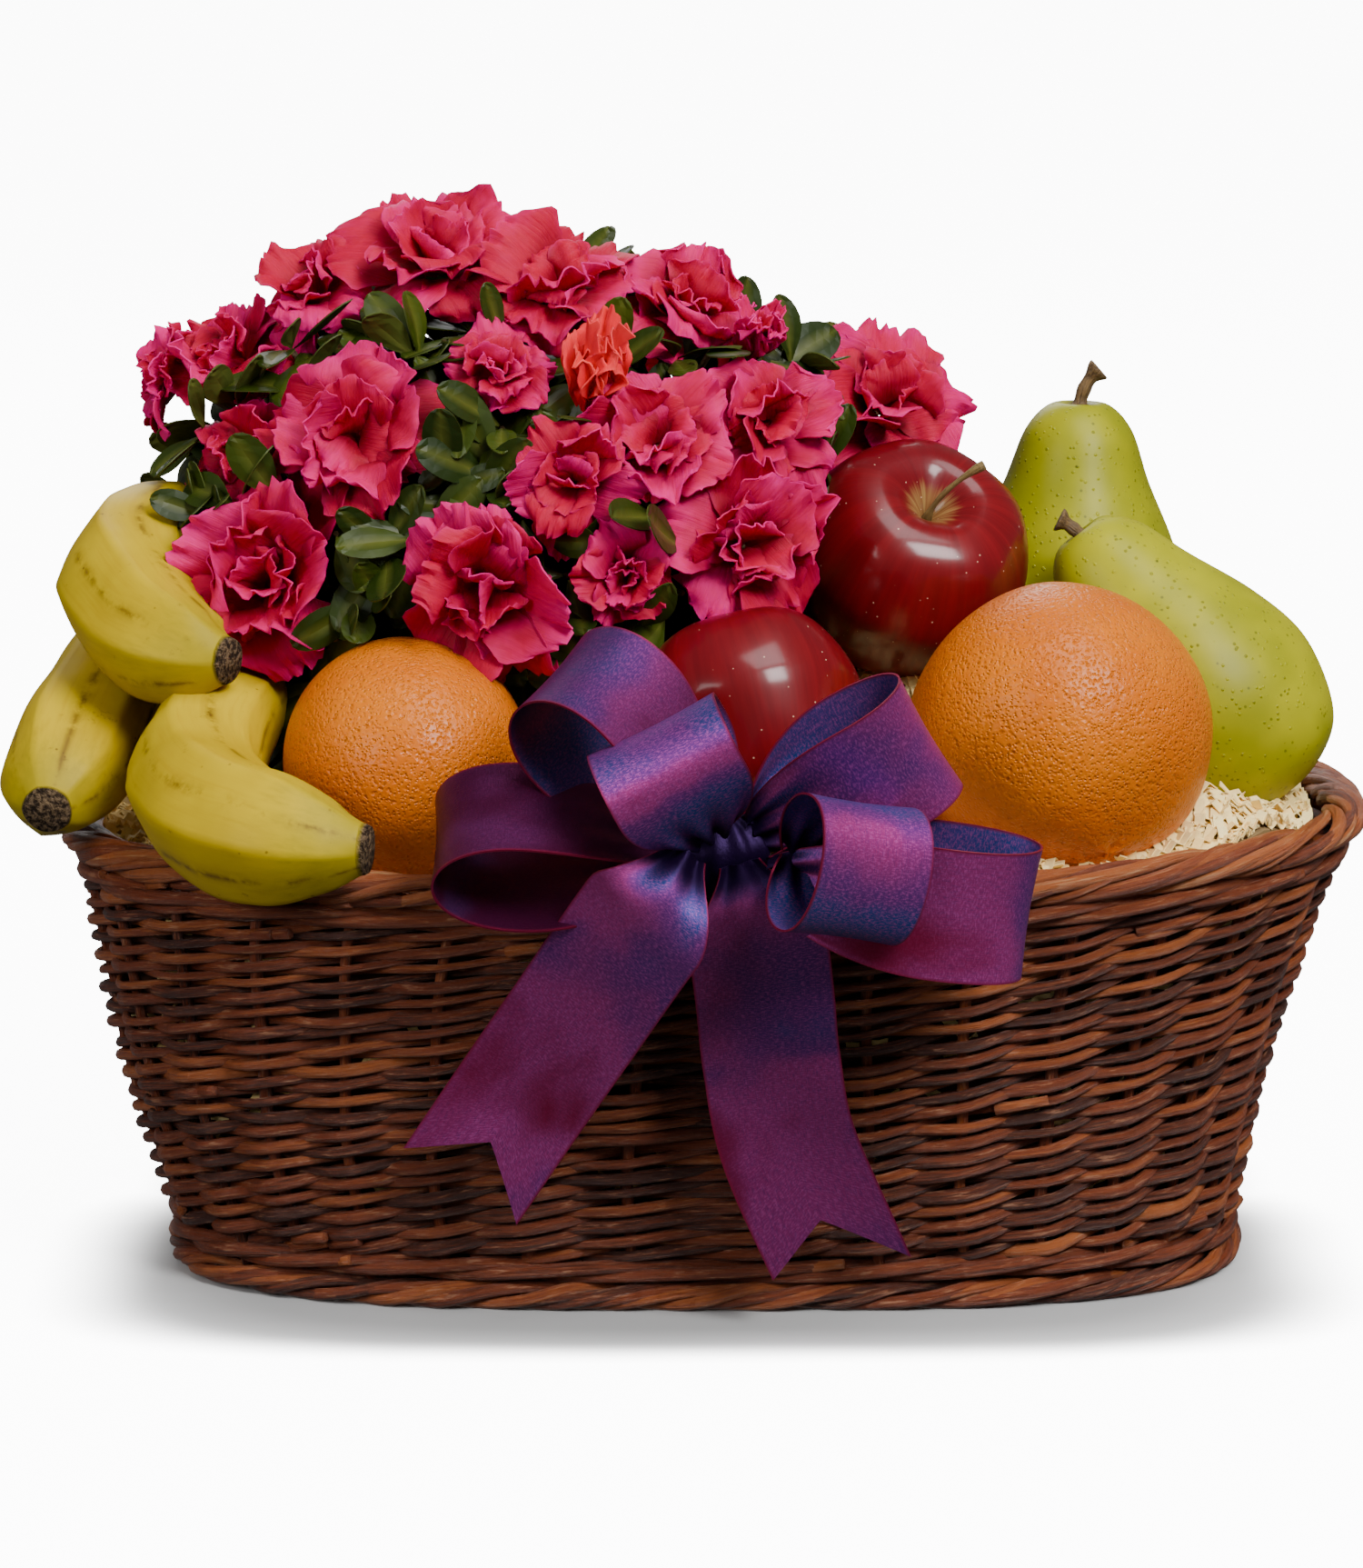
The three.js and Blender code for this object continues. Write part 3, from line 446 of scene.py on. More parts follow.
class Paint:
    """A material under construction."""

    def __init__(self, name):
        self.material = bpy.data.materials.new(name)
        self.material.use_nodes = True
        self.tree = self.material.node_tree
        self.shader = self.tree.nodes["Principled BSDF"]

    def node(self, kind, settings=None, values=None, output=0):
        """One node: its settings, then its inputs by name or number, each a wire or a constant. Gives
        the wire of one output, or of each in a list."""
        node = self.tree.nodes.new(kind)
        for key, value in (settings or {}).items():
            setattr(node, key, value)
        for key, value in (values or {}).items():
            self.plug(node.inputs[key], value)
        if isinstance(output, list):
            return [Wire(self, node.outputs[key]) for key in output]
        return Wire(self, node.outputs[output])

    def plug(self, socket, value):
        """Joins a wire to a socket, or sets it to a constant."""
        if isinstance(value, Wire):
            self.tree.links.new(value.socket, socket)
        elif hasattr(value, "__len__") and len(value) == 3 and socket.type == "RGBA":
            socket.default_value = (*value, 1)
        else:
            socket.default_value = value

    def place(self):
        """The place in the object, in metres."""
        return self.node("ShaderNodeTexCoord", output="Object")

    def look(self):
        """The four numbers of look, as wires."""
        colour, last = self.node("ShaderNodeAttribute", {"attribute_name": "look"}, output=["Color", "Alpha"])
        return [*self.node("ShaderNodeSeparateColor", values={0: colour}, output=[0, 1, 2]), last]

    def vector(self, operation, first, second):
        """One Vector Math node."""
        return self.node("ShaderNodeVectorMath", {"operation": operation}, {0: first, 1: second})

    def noise(self, scale, detail=3.0, rough=0.5, over=None, output=0):
        """Noise over a vector, or else over the place in the object."""
        return self.node("ShaderNodeTexNoise", None, {
            "Vector": over or self.place(), "Scale": scale, "Detail": detail, "Roughness": rough}, output)

    def streaks(self, stretch, detail=3.0, rough=0.5):
        """Noise over the grain, drawn out by a factor each way."""
        grain = self.node("ShaderNodeAttribute", {"attribute_name": "grain"}, output="Vector")
        return self.noise(1.0, detail, rough, self.vector("MULTIPLY", grain, stretch))

    def cells(self, scale, over=None):
        """The distance to the nearest of scattered points."""
        return self.node("ShaderNodeTexVoronoi", None, {"Vector": over or self.place(), "Scale": scale},
                         "Distance")

    def mix(self, share, first, second):
        """From the first colour to the second by a share."""
        return self.node("ShaderNodeMix", {"data_type": "RGBA"}, {0: share, 6: first, 7: second}, 2)

    def layers(self, colour, *coats):
        """A colour under coats, each laid on by a share: (share, colour)."""
        for share, coat in coats:
            colour = self.mix(share, colour, coat)
        return colour

    def finish(self, colour, rough, height=None, depth=0.0, shine=0.5, flesh=None, **constants):
        """Joins the wires to the shader: colour, roughness, a bump of the given depth in metres, the
        mirror's strength, and flesh, which is how much light goes into it and how far by colour."""
        constants.update(Base_Color=colour, Roughness=rough, Specular_IOR_Level=shine)
        if flesh:
            constants.update(Subsurface_Weight=flesh[0], Subsurface_Radius=flesh[1], Subsurface_Scale=1.0)
        if height is not None:
            constants["Normal"] = self.node("ShaderNodeBump", None, {
                "Height": height, "Strength": 1.0, "Distance": depth}, "Normal")
        for name, value in constants.items():
            self.plug(self.shader.inputs[name.replace("_", " ")], value)
        return self.material


def willow_paint():
    """Dark stained willow, worn paler by tone and along its streaks, and rubbed in flecks."""
    p = Paint("stained_willow")
    tone, shade, _, _ = p.look()
    streak = p.streaks((0.035, 1.5, 1.5), 6.0, 0.7)
    bark = p.streaks((0.09, 3.2, 3.2), 4.0, 0.7)
    fleck = p.streaks((0.12, 0.9, 0.9), 4.0, 0.65)
    rings = p.streaks((0.45, 0.03, 0.03), 2.0)
    worn = tone + (streak - 0.5) * 1.3 + (fleck - 0.5) * 0.7
    colour = p.layers(
        (0.05, 0.011, 0.005),
        (worn.within(0.0, 0.4), (0.2, 0.037, 0.0095)),
        (worn.within(0.4, 0.85), (0.39, 0.1, 0.022)),
        (worn.within(0.95, 1.2), (0.56, 0.29, 0.12)),
        # painted shade: darker by the look's second number, which every willow rod here leaves at 0
        (shade, (0.012, 0.004, 0.0025)),
        (fleck.within(0.57, 0.69) * 0.55, (0.5, 0.24, 0.13)),
        (bark.within(0.55, 0.69) * 0.42, (0.47, 0.19, 0.1)))
    height = streak * 0.6 + bark * 0.5 + fleck * 0.4 + rings * 0.3
    return p.finish(colour, 0.26 + streak * 0.26, height, 0.0015, 0.62)


def paper_paint():
    """Cream paper with fine fibres, and painted shade that darkens it where it lies far down."""
    p = Paint("cut_paper")
    tone, shade, _, _ = p.look()
    fibre = p.noise(900.0, 3.0, 0.7)
    colour = p.layers(
        (0.96, 0.65, 0.22),
        (tone, (1.0, 0.82, 0.38)),
        (fibre.within(0.35, 0.85) * 0.3, (0.66, 0.45, 0.18)),
        # painted shade: darker by the look's second number
        (shade, (0.085, 0.032, 0.012)))
    return p.finish(colour, 0.85, fibre, 0.0002)


def orange_paint():
    """Orange peel with uneven pores of two sizes, and a green button."""
    p = Paint("orange_peel")
    _, crown, _, _ = p.look()
    lean = p.noise(28.0, 2.0)
    drift = p.vector("MULTIPLY", p.noise(260.0, 2.0, output="Color"), (0.0012, 0.0012, 0.0012))
    warped = p.vector("ADD", p.place(), drift)
    pores, small = p.cells(520.0, warped), p.cells(980.0, warped)
    pit = (pores.within(0.0, 0.5) * 0.35 + small.within(0.0, 0.5) * 0.4
           + p.noise(420.0, 2.0, over=warped) * 0.45)
    colour = p.layers(
        (0.545, 0.119, 0.0001),
        (lean.within(0.35, 0.7), (0.63, 0.157, 0.0001)),
        (pores.within(0.3, 0.0) * 0.3, (0.52, 0.095, 0.0001)),
        (crown, (0.12, 0.14, 0.02)))
    return p.finish(colour, 0.3 + lean * 0.1, pit, 0.0008, 0.26, (0.08, (0.004, 0.0012, 0.0002)))


def apple_paint():
    """Deep red skin streaked from end to end, yellow in the cavity, with sparse pale dots."""
    p = Paint("apple_skin")
    _, cavity, _, _ = p.look()
    streaks = p.streaks((10.0, 10.0, 0.7), 4.0, 0.65)
    cloud = p.noise(22.0)
    dots = p.cells(300.0).within(0.085, 0.05) * p.noise(160.0, 1.0).within(0.44, 0.54)
    colour = p.layers(
        (0.12, 0.0025, 0.005),
        (streaks.within(0.3, 0.75), (0.175, 0.004, 0.007)),
        (cloud.within(0.4, 0.7) * 0.5, (0.1, 0.002, 0.008)),
        ((cavity + (streaks - 0.5) * 0.9).within(0.72, 1.25), (0.32, 0.2, 0.06)),
        (dots * 0.85, (0.68, 0.42, 0.28)))
    return p.finish(colour, 0.3 + cloud * 0.12, streaks * 0.2 + cloud, 0.0004, 0.15,
                    Coat_Weight=0.38, Coat_Roughness=0.15)


def pear_paint():
    """Yellow-green skin with fine and large dark specks, russet round the stem."""
    p = Paint("pear_skin")
    _, crown, _, _ = p.look()
    cloud = p.noise(20.0, 3.0, 0.6)
    fine = p.cells(420.0).within(0.24, 0.1)
    large = p.cells(190.0).within(0.12, 0.05)
    gate = p.noise(130.0, 2.0).within(0.42, 0.6)
    colour = p.layers(
        (0.235, 0.24, 0.0008),
        (cloud.within(0.35, 0.7), (0.4, 0.375, 0.0018)),
        (fine * 0.6 * gate + large * 0.75, (0.085, 0.095, 0.004)),
        ((crown + (cloud - 0.5) * 0.5).within(0.55, 1.0), (0.13, 0.075, 0.018)))
    return p.finish(colour, 0.36 + cloud * 0.14, cloud * 0.7 + fine * 0.3, 0.0006, 0.22,
                    (0.06, (0.003, 0.002, 0.0003)))


def banana_paint():
    """Yellow peel, greener towards the stub, with brown spots, marks and ridges and rough dark ends."""
    p = Paint("banana_peel")
    stub, ridge, cut, _ = p.look()
    cloud = p.noise(24.0, 3.0, 0.6)
    streaks = p.streaks((0.03, 0.5, 0.5), 4.0, 0.65)
    spots = p.cells(170.0).within(0.1, 0.04) * p.noise(60.0, 2.0).within(0.48, 0.6)
    marks = p.noise(120.0, 5.0, 0.75).within(0.62, 0.7)
    edge = ridge * p.noise(60.0, 5.0, 0.7).within(0.44, 0.6) * 0.8
    rough = p.noise(700.0, 3.0, 0.7)
    colour = p.layers(
        (0.47, 0.315, 0.0002),
        (cloud.within(0.35, 0.7), (0.56, 0.39, 0.0003)),
        (streaks.within(0.45, 0.75) * 0.4, (0.4, 0.24, 0.0004)),
        ((stub + (streaks - 0.5) * 0.3).within(0.62, 0.96) * 0.7, (0.3, 0.24, 0.006)),
        (spots * 0.7 + marks * 0.4 + edge, (0.1, 0.042, 0.008)),
        (cut, p.mix(rough.within(0.4, 0.65), (0.016, 0.009, 0.005), (0.17, 0.11, 0.06))))
    return p.finish(colour, 0.42 + cloud * 0.12 + cut * 0.4, cloud + cut * rough * 3.0, 0.0006, 0.14,
                    (0.06, (0.003, 0.002, 0.0003)))


def stem_paint():
    """Dry brown wood, paler by tone and darker by shade."""
    p = Paint("dry_stem")
    tone, shade, _, _ = p.look()
    streaks = p.streaks((0.15, 1.6, 1.6), 4.0, 0.65)
    colour = p.layers(
        (0.05, 0.025, 0.01),
        (streaks.within(0.3, 0.7), (0.2, 0.115, 0.035)),
        (tone * 0.5, (0.27, 0.19, 0.05)),
        (shade, (0.03, 0.014, 0.007)))
    return p.finish(colour, 0.62, streaks, 0.0008)


def leaf_paint():
    """Dark green leaves, paler and duller below, with a pale midrib and fine side veins."""
    p = Paint("azalea_leaf")
    tone, rib, veins, upper = p.look()
    cloud = p.noise(90.0)
    lower = p.mix(cloud, (0.05, 0.066, 0.006), (0.085, 0.1, 0.013))
    top = p.layers(
        (0.009, 0.02, 0.0015),
        (tone, (0.048, 0.068, 0.0045)),
        (cloud.within(0.4, 0.7) * 0.4, (0.01, 0.018, 0.0015)))
    colour = p.layers(lower, (upper, top), (rib * 0.55, (0.14, 0.145, 0.02)))
    height = rib * -0.6 + veins * 0.5 + cloud * 0.5
    return p.finish(colour, 0.66 - upper * 0.24, height, 0.0008, 0.22)


def petal_paint(name, shade, middle, tip, edge):
    """Petals: darker towards the throat, a painted shade, paler at the tips and rims, with fine veins
    along them.
    """
    p = Paint(name)
    along, rim, tone, _ = p.look()
    veins = p.streaks((0.06, 1.1, 0.3), 4.0, 0.6)
    cloud = p.noise(70.0, 3.0, 0.55)
    colour = p.layers(
        # painted shade: the throat keeps the shade colour
        shade,
        ((along + (cloud - 0.5) * 0.7).within(0.2, 0.7), middle),
        ((along * 0.6 + tone * 0.5 + (cloud - 0.5) * 0.9).within(0.55, 1.15), tip),
        (veins.within(0.45, 0.75) * 0.2, shade),
        (rim * 0.2, edge))
    return p.finish(colour, 0.6, veins * 0.5 + cloud, 0.0008, 0.15, (0.3, (0.004, 0.0002, 0.001)))


def ribbon_paint():
    """Shot satin: warp and weft of two colours whose hue follows a painted sheen, with painted glints along
    the weft, a lighter blue painted on inner faces as painted light, a thin red selvedge, and painted
    shade in the folds at the knot and over each length by its share.
    """
    p = Paint("shot_satin")
    painted_sheen, edge, painted_shade, outer = p.look()
    weft = p.streaks((2.4, 0.7, 1.0), 4.0, 0.75)
    warp = p.streaks((0.5, 2.8, 1.0), 4.0, 0.75)
    drift = p.streaks((0.03, 0.045, 1.0), 2.0)
    # painted sheen: the hue follows the way the cloth faces, with each length's warmth and a slow drift
    hue = painted_sheen + (drift - 0.5) * 1.25 - (1.0 - outer) * 0.2
    colour = p.layers(
        (0.02, 0.052, 0.22),
        (hue.within(0.0, 0.4), (0.12, 0.026, 0.18)),
        (hue.within(0.4, 0.85), (0.33, 0.034, 0.18)),
        # painted light: inner faces, which their own loop shades, are painted a lighter blue
        ((1.0 - outer) * 0.55, (0.03, 0.07, 0.3)),
        # painted glints: bright pink flecks along the weft
        (weft.within(0.46, 0.62) * 0.46, (0.66, 0.12, 0.45)),
        (warp.within(0.46, 0.62) * 0.4, (0.022, 0.02, 0.14)),
        (hue.within(0.95, 1.4) * 0.9, (0.19, 0.004, 0.022)),
        # painted shade: darkest in the folds and over each length by its share
        (painted_shade, (0.012, 0.003, 0.03)),
        (edge, (0.22, 0.012, 0.045)))
    return p.finish(colour, 0.25 + weft * 0.14, weft + warp, 0.0001, 0.12, Metallic=0.56, Anisotropic=0.3)


# ---- the basket

def oval(size, angle, out=0.0):
    """A superellipse: each coordinate is the signed cosine or sine to the power 2/square, times the
    half size and what is added to it."""
    return tuple((size[half] + out) * np.sign(wave) * np.abs(wave) ** (2 / size["square"])
                 for half, wave in (("half_width", np.cos(angle)), ("half_depth", np.sin(angle))))


def angle_at(share, size=RIM):
    """The angle at which a share of the oval's length has been passed."""
    angle = np.linspace(0, TAU, 3601)
    x, y = oval(size, angle)
    reach = np.concatenate([[0], np.cumsum(np.hypot(np.diff(x), np.diff(y)))])
    return np.interp(np.mod(share, 1), reach / reach[-1], angle)


def chord(place, half, half_reach, square):
    """How far a superellipse reaches to one side at a place on its other axis: the half reach times
    (1 - |place / half|^square)^(1 / square)."""
    return half_reach * (1 - np.abs(place / half) ** square) ** (1 / square)


def climb(size, x):
    """A border's rise to its right end, eased from x = 60."""
    return size["rise"] * ease(x, 60, RIM["half_width"])


def wall_size(z):
    """The share of the way up the wall at a height, and the oval there: its half sizes and
    squareness run straight from foot to rim."""
    t = np.clip((z - FOOT["height"]) / (RIM["top"] - RIM["height"] - FOOT["height"]), 0, 1)
    size = {half: between(FOOT[half] - WALL["set_in"], RIM[half] * WALL["flare"], t)
            for half in ("half_width", "half_depth")}
    return t, dict(size, square=between(FOOT["square"], RIM["square"], t))


def wall_point(share, z, out=0.0):
    """A place on the wall, which sways sideways by lean x (t - 1.5 sin(pi t)) at a share t of the way
    up, and follows the rim's rise."""
    t, size = wall_size(z)
    x, y = oval(size, angle_at(share), out)
    return together(x + RIM["lean"] * (t - 1.5 * np.sin(np.pi * t)), y, z + climb(RIM, x) * t)


def outward(path, size=RIM):
    """Level directions straight out of the oval that a path follows."""
    return unit(together(path[..., 0] / size["half_width"] ** 2, path[..., 1] / size["half_depth"] ** 2, 0))


def lay_rods(parts, rng, path, radius, tone, sides=8, facing=None, **more):
    """Willow rods that face outward or as told, each with its own stretch of grain."""
    parts.tubes(path, radius, sides, outward(path) if facing is None else facing, looks(tone),
                start=rng.uniform(0, 9000, len(path)), **more)


def weave(parts, rng):
    """Rods that climb round the wall. At s stakes round, rod j swings in and out by a rounded zigzag of
    cos(pi (s + j)), and dips as it comes in front of a stake, so that neighbours take opposite sides.
    A rod runs straight between stakes, with a small kink up or down at each."""
    rods, span, low, high = (WEAVE[key] for key in ("rods", "span", "low", "high"))
    per_stake = 6
    number = np.arange(rods)[:, None]
    run = np.linspace(0, span, span * per_stake + 1)[None]
    s = STAKES * number / rods + run
    side = np.arcsin(0.93 * np.cos(np.pi * (s + number))) / math.asin(0.93)
    start = rng.uniform(0, TAU, (3, rods, 1))
    kinks = rng.normal(0, 0.55, (rods, span + 2))
    passed = np.arange(run.size) // per_stake
    drift = (0.5 * np.sin(0.9 * s + start[0]) + 0.3 * np.sin(2.3 * s + start[1])
             + between(kinks[:, passed], kinks[:, passed + 1], run - passed))
    z = between(low, high, run / span) - WEAVE["dip"] * side + drift * np.sin(np.pi * run / span)
    tuck = 3.0 * ease(np.minimum(run, span - run), 0.8, 0)
    out = WEAVE["middle"] + WEAVE["swing"] * side * (1 + 0.1 * np.sin(1.7 * s + start[2])) - tuck
    swell = 1 + 0.07 * np.sin(3.1 * s + start[2]) + 0.05 * np.sin(7.3 * s + start[0])
    thinning = 1.16 - 0.3 * run / span
    radius = WEAVE["radius"] * rng.uniform(0.8, 1.2, (rods, 1)) * thinning * swell
    path = wall_point(s / STAKES, np.clip(z, low - 2, high + 1), out)
    lay_rods(parts, rng, path, radius, 0.9 * rng.beta(1.1, 2.1, rods), flat=0.92)


def stakes(parts, rng):
    """Upright rods at even steps round the rim, from the foot to the rim, not quite straight."""
    z = np.linspace(7, 121, 24)
    share = (np.arange(STAKES) / STAKES)[:, None]
    path = wall_point(share, z, WEAVE["middle"])
    path[..., :2] += 0.5 * np.sin(z / 9 + 9 * share)[..., None]
    lay_rods(parts, rng, path, rng.uniform(1.6, 1.9, (STAKES, 1)), rng.uniform(0.15, 0.6, STAKES))


def waling(parts, rng, height, radius):
    """Three rods twined round the wall: at a share s of the way round, rod i stands out by the cosine
    and up by the sine of its turn, 2 pi (8 s + i / 3)."""
    share = np.arange(240)[None] / 240
    turn = TAU * (8 * share + np.arange(3)[:, None] / 3)
    z = height + 1.7 * np.sin(turn) + 0.4 * np.sin(TAU * 5 * share)
    path = wall_point(share, z, WEAVE["middle"] + 0.7 + 2.8 * np.cos(turn))
    lay_rods(parts, rng, path, radius * rng.uniform(0.92, 1.08, (3, 1)), rng.uniform(0.2, 0.6, 3), ring=True)


def cut_tips(parts, rng, count=44):
    """Cut rod ends that stand a little proud of the weave, pointing along it."""
    share = rng.uniform(0, 1, (count, 1))
    z = rng.choice(TIP_HEIGHTS, (count, 1)) + rng.uniform(-1.5, 1.5, (count, 1))
    t = np.linspace(0, 1, 5)[None]
    length = rng.uniform(0.008, 0.018, (count, 1))
    path = wall_point(share + length * t, z + 2.5 * t, between(-2.5, 0.8, t))
    lay_rods(parts, rng, path, 1.7 * (1 - 0.12 * t), rng.uniform(0.3, 0.9, count))


def rope(parts, rng, border):
    """A border of rods laid round the oval like a rope: rod i stands off its middle line by the
    cosine of its turn outwards and the sine upwards, and thickens and thins along its length. It is
    pressed flat where it would go through the floor."""
    share = np.arange(420)[None] / 420
    number = np.arange(border["rods"])[:, None]

    def ripple(height, laps, apart):
        """A wave that runs some laps round each rod, set apart from one rod to the next."""
        return height * np.sin(TAU * (laps * share + apart * number))

    x, y = oval(border, angle_at(share, border), -border["width"] / 2)
    middle = together(x, y, border["top"] - border["height"] / 2 + climb(border, x))
    away = outward(middle, border)
    turn = TAU * (border["turns"] * share + number / border["rods"])
    turn = turn + ripple(0.35, 7, 0.37) + ripple(0.25, 13, 0.61)
    out, up = border["spread"]
    path = stepped(middle + [border["lean"], 0, 0], (out * np.cos(turn), away), (up * np.sin(turn), UP))
    swell = 1 + ripple(0.17, 4, 0.43) + ripple(0.06, 17, 0.7)
    thick = border["radius"] * swell * rng.uniform(0.85, 1.12, (border["rods"], 1))
    path[..., 2] = np.maximum(path[..., 2], thick * 0.96)
    lay_rods(parts, rng, path, thick, rng.uniform(*border["tones"], border["rods"]), 9, away, ring=True)


def base(parts, rng):
    """The basket's underside: rods side by side along its length, which pass over and under cross
    sticks, cut to the oval."""
    half_width, half_depth, square = (FOOT[key] for key in ("half_width", "half_depth", "square"))
    t = np.linspace(-1, 1, 61)[None]
    y = np.linspace(-82, 82, 46)[:, None]
    x = t * chord(y, half_depth - 6, half_width - 12, square)
    path = together(x, y, 5.4 + 1.5 * np.cos(np.pi * (x / 17 + np.arange(46)[:, None])))
    lay_rods(parts, rng, path, rng.uniform(1.6, 1.85, (46, 1)), rng.beta(1.5, 2.6, 46), 6, [0, 1, 0])
    x = np.linspace(-136, 136, 17)[:, None]
    path = together(x, t * chord(x, half_width - 8, half_depth - 12, square), 5.4)
    lay_rods(parts, rng, path, 2.0, rng.uniform(0.3, 0.6, 17), 6, [1, 0, 0])


def basket(paint):
    """The wall with its uprights and twined bands, the underside, the rim and the foot."""
    rng = np.random.default_rng(5)
    wall, under, rim, foot = (Parts() for _ in range(4))
    weave(wall, rng)
    stakes(wall, rng)
    waling(wall, rng, 11.5, 2.0)
    waling(wall, rng, 116.5, 1.9)
    cut_tips(wall, rng)
    base(under, rng)
    rope(rim, rng, RIM)
    rope(foot, rng, FOOT)
    wall.piece("woven_wall", paint, "willow", ["basket_wall"])
    under.piece("woven_base", paint, "willow")
    rim.piece("rope_rim", paint, "willow", ["basket_rim"])
    foot.piece("rope_foot", paint, "willow", ["basket_foot"])


# ---- the paper

def bed_height(x, y):
    """The paper's height: a mound under the fruit, edge + mound x (1 - r²)^0.75, with a rounded heap
    here and there, following the rim's rise."""
    inset = RIM["width"]
    reach = np.minimum(1, np.hypot(x / (RIM["half_width"] - inset), y / (RIM["half_depth"] - inset)))
    heap = sum(height * np.exp(-((x - at[0]) / spread[0]) ** 2 - ((y - at[1]) / spread[1]) ** 2)
               for at, spread, height in HEAPS)
    return BED["edge"] + BED["mound"] * (1 - reach ** 2) ** 0.75 + heap + climb(RIM, x)


def paper_core(parts, rays=140):
    """A closed body: down its sides it keeps just inside the weave, and its top follows the bed. It is
    painted dark as painted shade, fully down its sides and at its foot and 0.8 over its top.
    """
    share = np.arange(rays) / rays
    sides = [wall_point(share, z, -10.5) for z in (9, 9, 40, 80, 112)]
    sides[0] = sides[0] * [0.5, 0.5, 1]
    x, y = oval(RIM, angle_at(share), -RIM["width"] - 2)
    tops = [together(x * part + RIM["lean"], y * part, bed_height(x * part, y * part) - 1.5)
            for part in (1.0, 0.94, 0.86, 0.76, 0.65, 0.54, 0.44, 0.35, 0.26, 0.17, 0.08)]
    # painted shade: full down the sides and at the foot, 0.8 over the top
    shade = np.repeat([1.0, 0.8, 1.0, 0.8], [rays * len(sides), rays * len(tops), 1, 1])
    poles = [[0, 0, 9], [RIM["lean"], 0, bed_height(0.0, 0.0) - 1.5]]
    parts.body(np.array(sides + tops), poles, look=looks(0.4, shade))


def folds(count):
    """The numbers of a strip's folds, counted from its middle, and which way each stands."""
    number = np.arange(count + 1)[None]
    return number - count / 2, np.where(number % 2, 1, -1)


def strips(parts, rng, middle, side, dullest):
    """Paper strips along their middle lines, each of its own tone."""
    grid = middle[:, :, None] + side[:, :, None] * STRIPS["half_width"] * np.array([-1, 1])[:, None]
    parts.sheets(grid, STRIPS["thickness"], grid, looks(rng.uniform(dullest, 1, (len(grid), 1, 1))))


def loose_strips(parts, rng):
    """Crinkle-cut strips over the paper's top. Each wanders in a plane, turning evenly, keeps a little
    above the bed, rises and falls by its folds, and lies across its own heading. One that would pass
    the rim is pulled in."""
    count, at_edge, inset = (STRIPS[key] for key in ("loose", "at_edge", "inset"))
    step, zigzag = folds(11)
    angle = rng.uniform(0, TAU, count)
    part = np.sqrt(rng.uniform(0.02, 0.9, count))
    part[:at_edge] = rng.uniform(0.86, 1.02, at_edge)
    pitch = rng.uniform(2.2, 3.4, (count, 1))
    curl = rng.normal(0, 0.13, (count, 1))
    heading = rng.uniform(0, TAU, (count, 1)) + curl * step
    run = np.cumsum(pitch[..., None] * together(np.cos(heading), np.sin(heading)), 1)
    start = together(*oval(RIM, angle, -inset)) * part[:, None]
    place = start[:, None] + run - run[:, run.shape[1] // 2 - 1, None]
    half = np.array([RIM["half_width"], RIM["half_depth"]]) - inset
    reach = np.linalg.norm(np.abs(place / half) ** 1.25, axis=-1, keepdims=True)
    x, y = np.moveaxis(place * np.minimum(1, 1.0 / np.maximum(reach, 1e-6) ** 0.8), -1, 0)
    tilt = rng.normal(0, 0.09, (count, 1)) * step * 2.4
    z = bed_height(x, y) + rng.uniform(0, 3.6, (count, 1)) + np.maximum(tilt, -1) + zigzag
    side = unit(together(-np.sin(heading), np.cos(heading), rng.normal(0, 0.3, (count, 1))))
    strips(parts, rng, together(x, y, z), side, 0.2)


def hidden_strips(parts, rng):
    """Strips pressed against the inside of the weave, where its gaps let them glint through. Each
    follows the wall, up or down by its slant, and folds in and out."""
    count, round_wall = STRIPS["hidden"], 900
    step, zigzag = folds(4)
    run = step * 2.8
    share = rng.uniform(0, 1, (count, 1))
    slant = rng.uniform(-1, 1, (count, 1))
    z = np.clip(rng.uniform(14, 112, (count, 1)) + slant * run, 11, 119)
    share = share + np.sqrt(1 - slant ** 2) * run / round_wall
    out = -7.1 + 0.8 * zigzag
    middle = wall_point(share, z, out)
    above = wall_point(share, z + 1, out) - middle
    strips(parts, rng, middle, square_to(unit(np.gradient(middle, axis=1)), above), 0.3)


def paper(paint):
    """The bed of cut paper: its closed body and the strips over it and round it."""
    rng = np.random.default_rng(12)
    parts = Parts()
    paper_core(parts)
    loose_strips(parts, rng)
    hidden_strips(parts, rng)
    parts.piece("cut_paper", paint, "paper", ["paper_bed"], sharp=35)


# ---- the fruit

def orange(radius, lumps):
    """A ball of radius r (1 - 0.012 cos(3a + p)), flattened to 0.965 and dimpled at its stem end, with
    slow lumps. Its button is marked."""
    polar = np.pi - np.pi * (np.arange(96)[:, None] + 0.5) / 96
    angle = turns_of(150)
    rows = ball(polar, angle) * (radius * (1 - 0.012 * np.cos(3 * angle + polar)))[..., None] * [1, 1, 0.965]
    rows = rows * (1 + 0.007 * waves(rows, 34, lumps)[..., None])
    star = (0.5 + 0.5 * np.cos(8 * angle)) * np.exp(-((polar - 0.2) / 0.1) ** 2)
    rows[..., 2] -= radius * (0.045 * np.exp(-(polar / 0.16) ** 2) - 0.012 * star)
    poles = np.array([rows[0].mean(0), rows[-1].mean(0) + [0, 0, 0.9]])
    return rows, poles, None, looks(0, np.append(ease(polar, 0.1, 0.06) + 0 * angle, [0, 1]))


def lathe(outline, rows, rays):
    """Rings round the axis through the points of a smoothed outline, and its two ends."""
    radius, height = spline(outline, rows + 2).T[:, :, None]
    angle = turns_of(rays)
    rings = together(radius * np.cos(angle), radius * np.sin(angle), height)[1:-1]
    return rings, together(0, 0, height[[0, -1], 0])


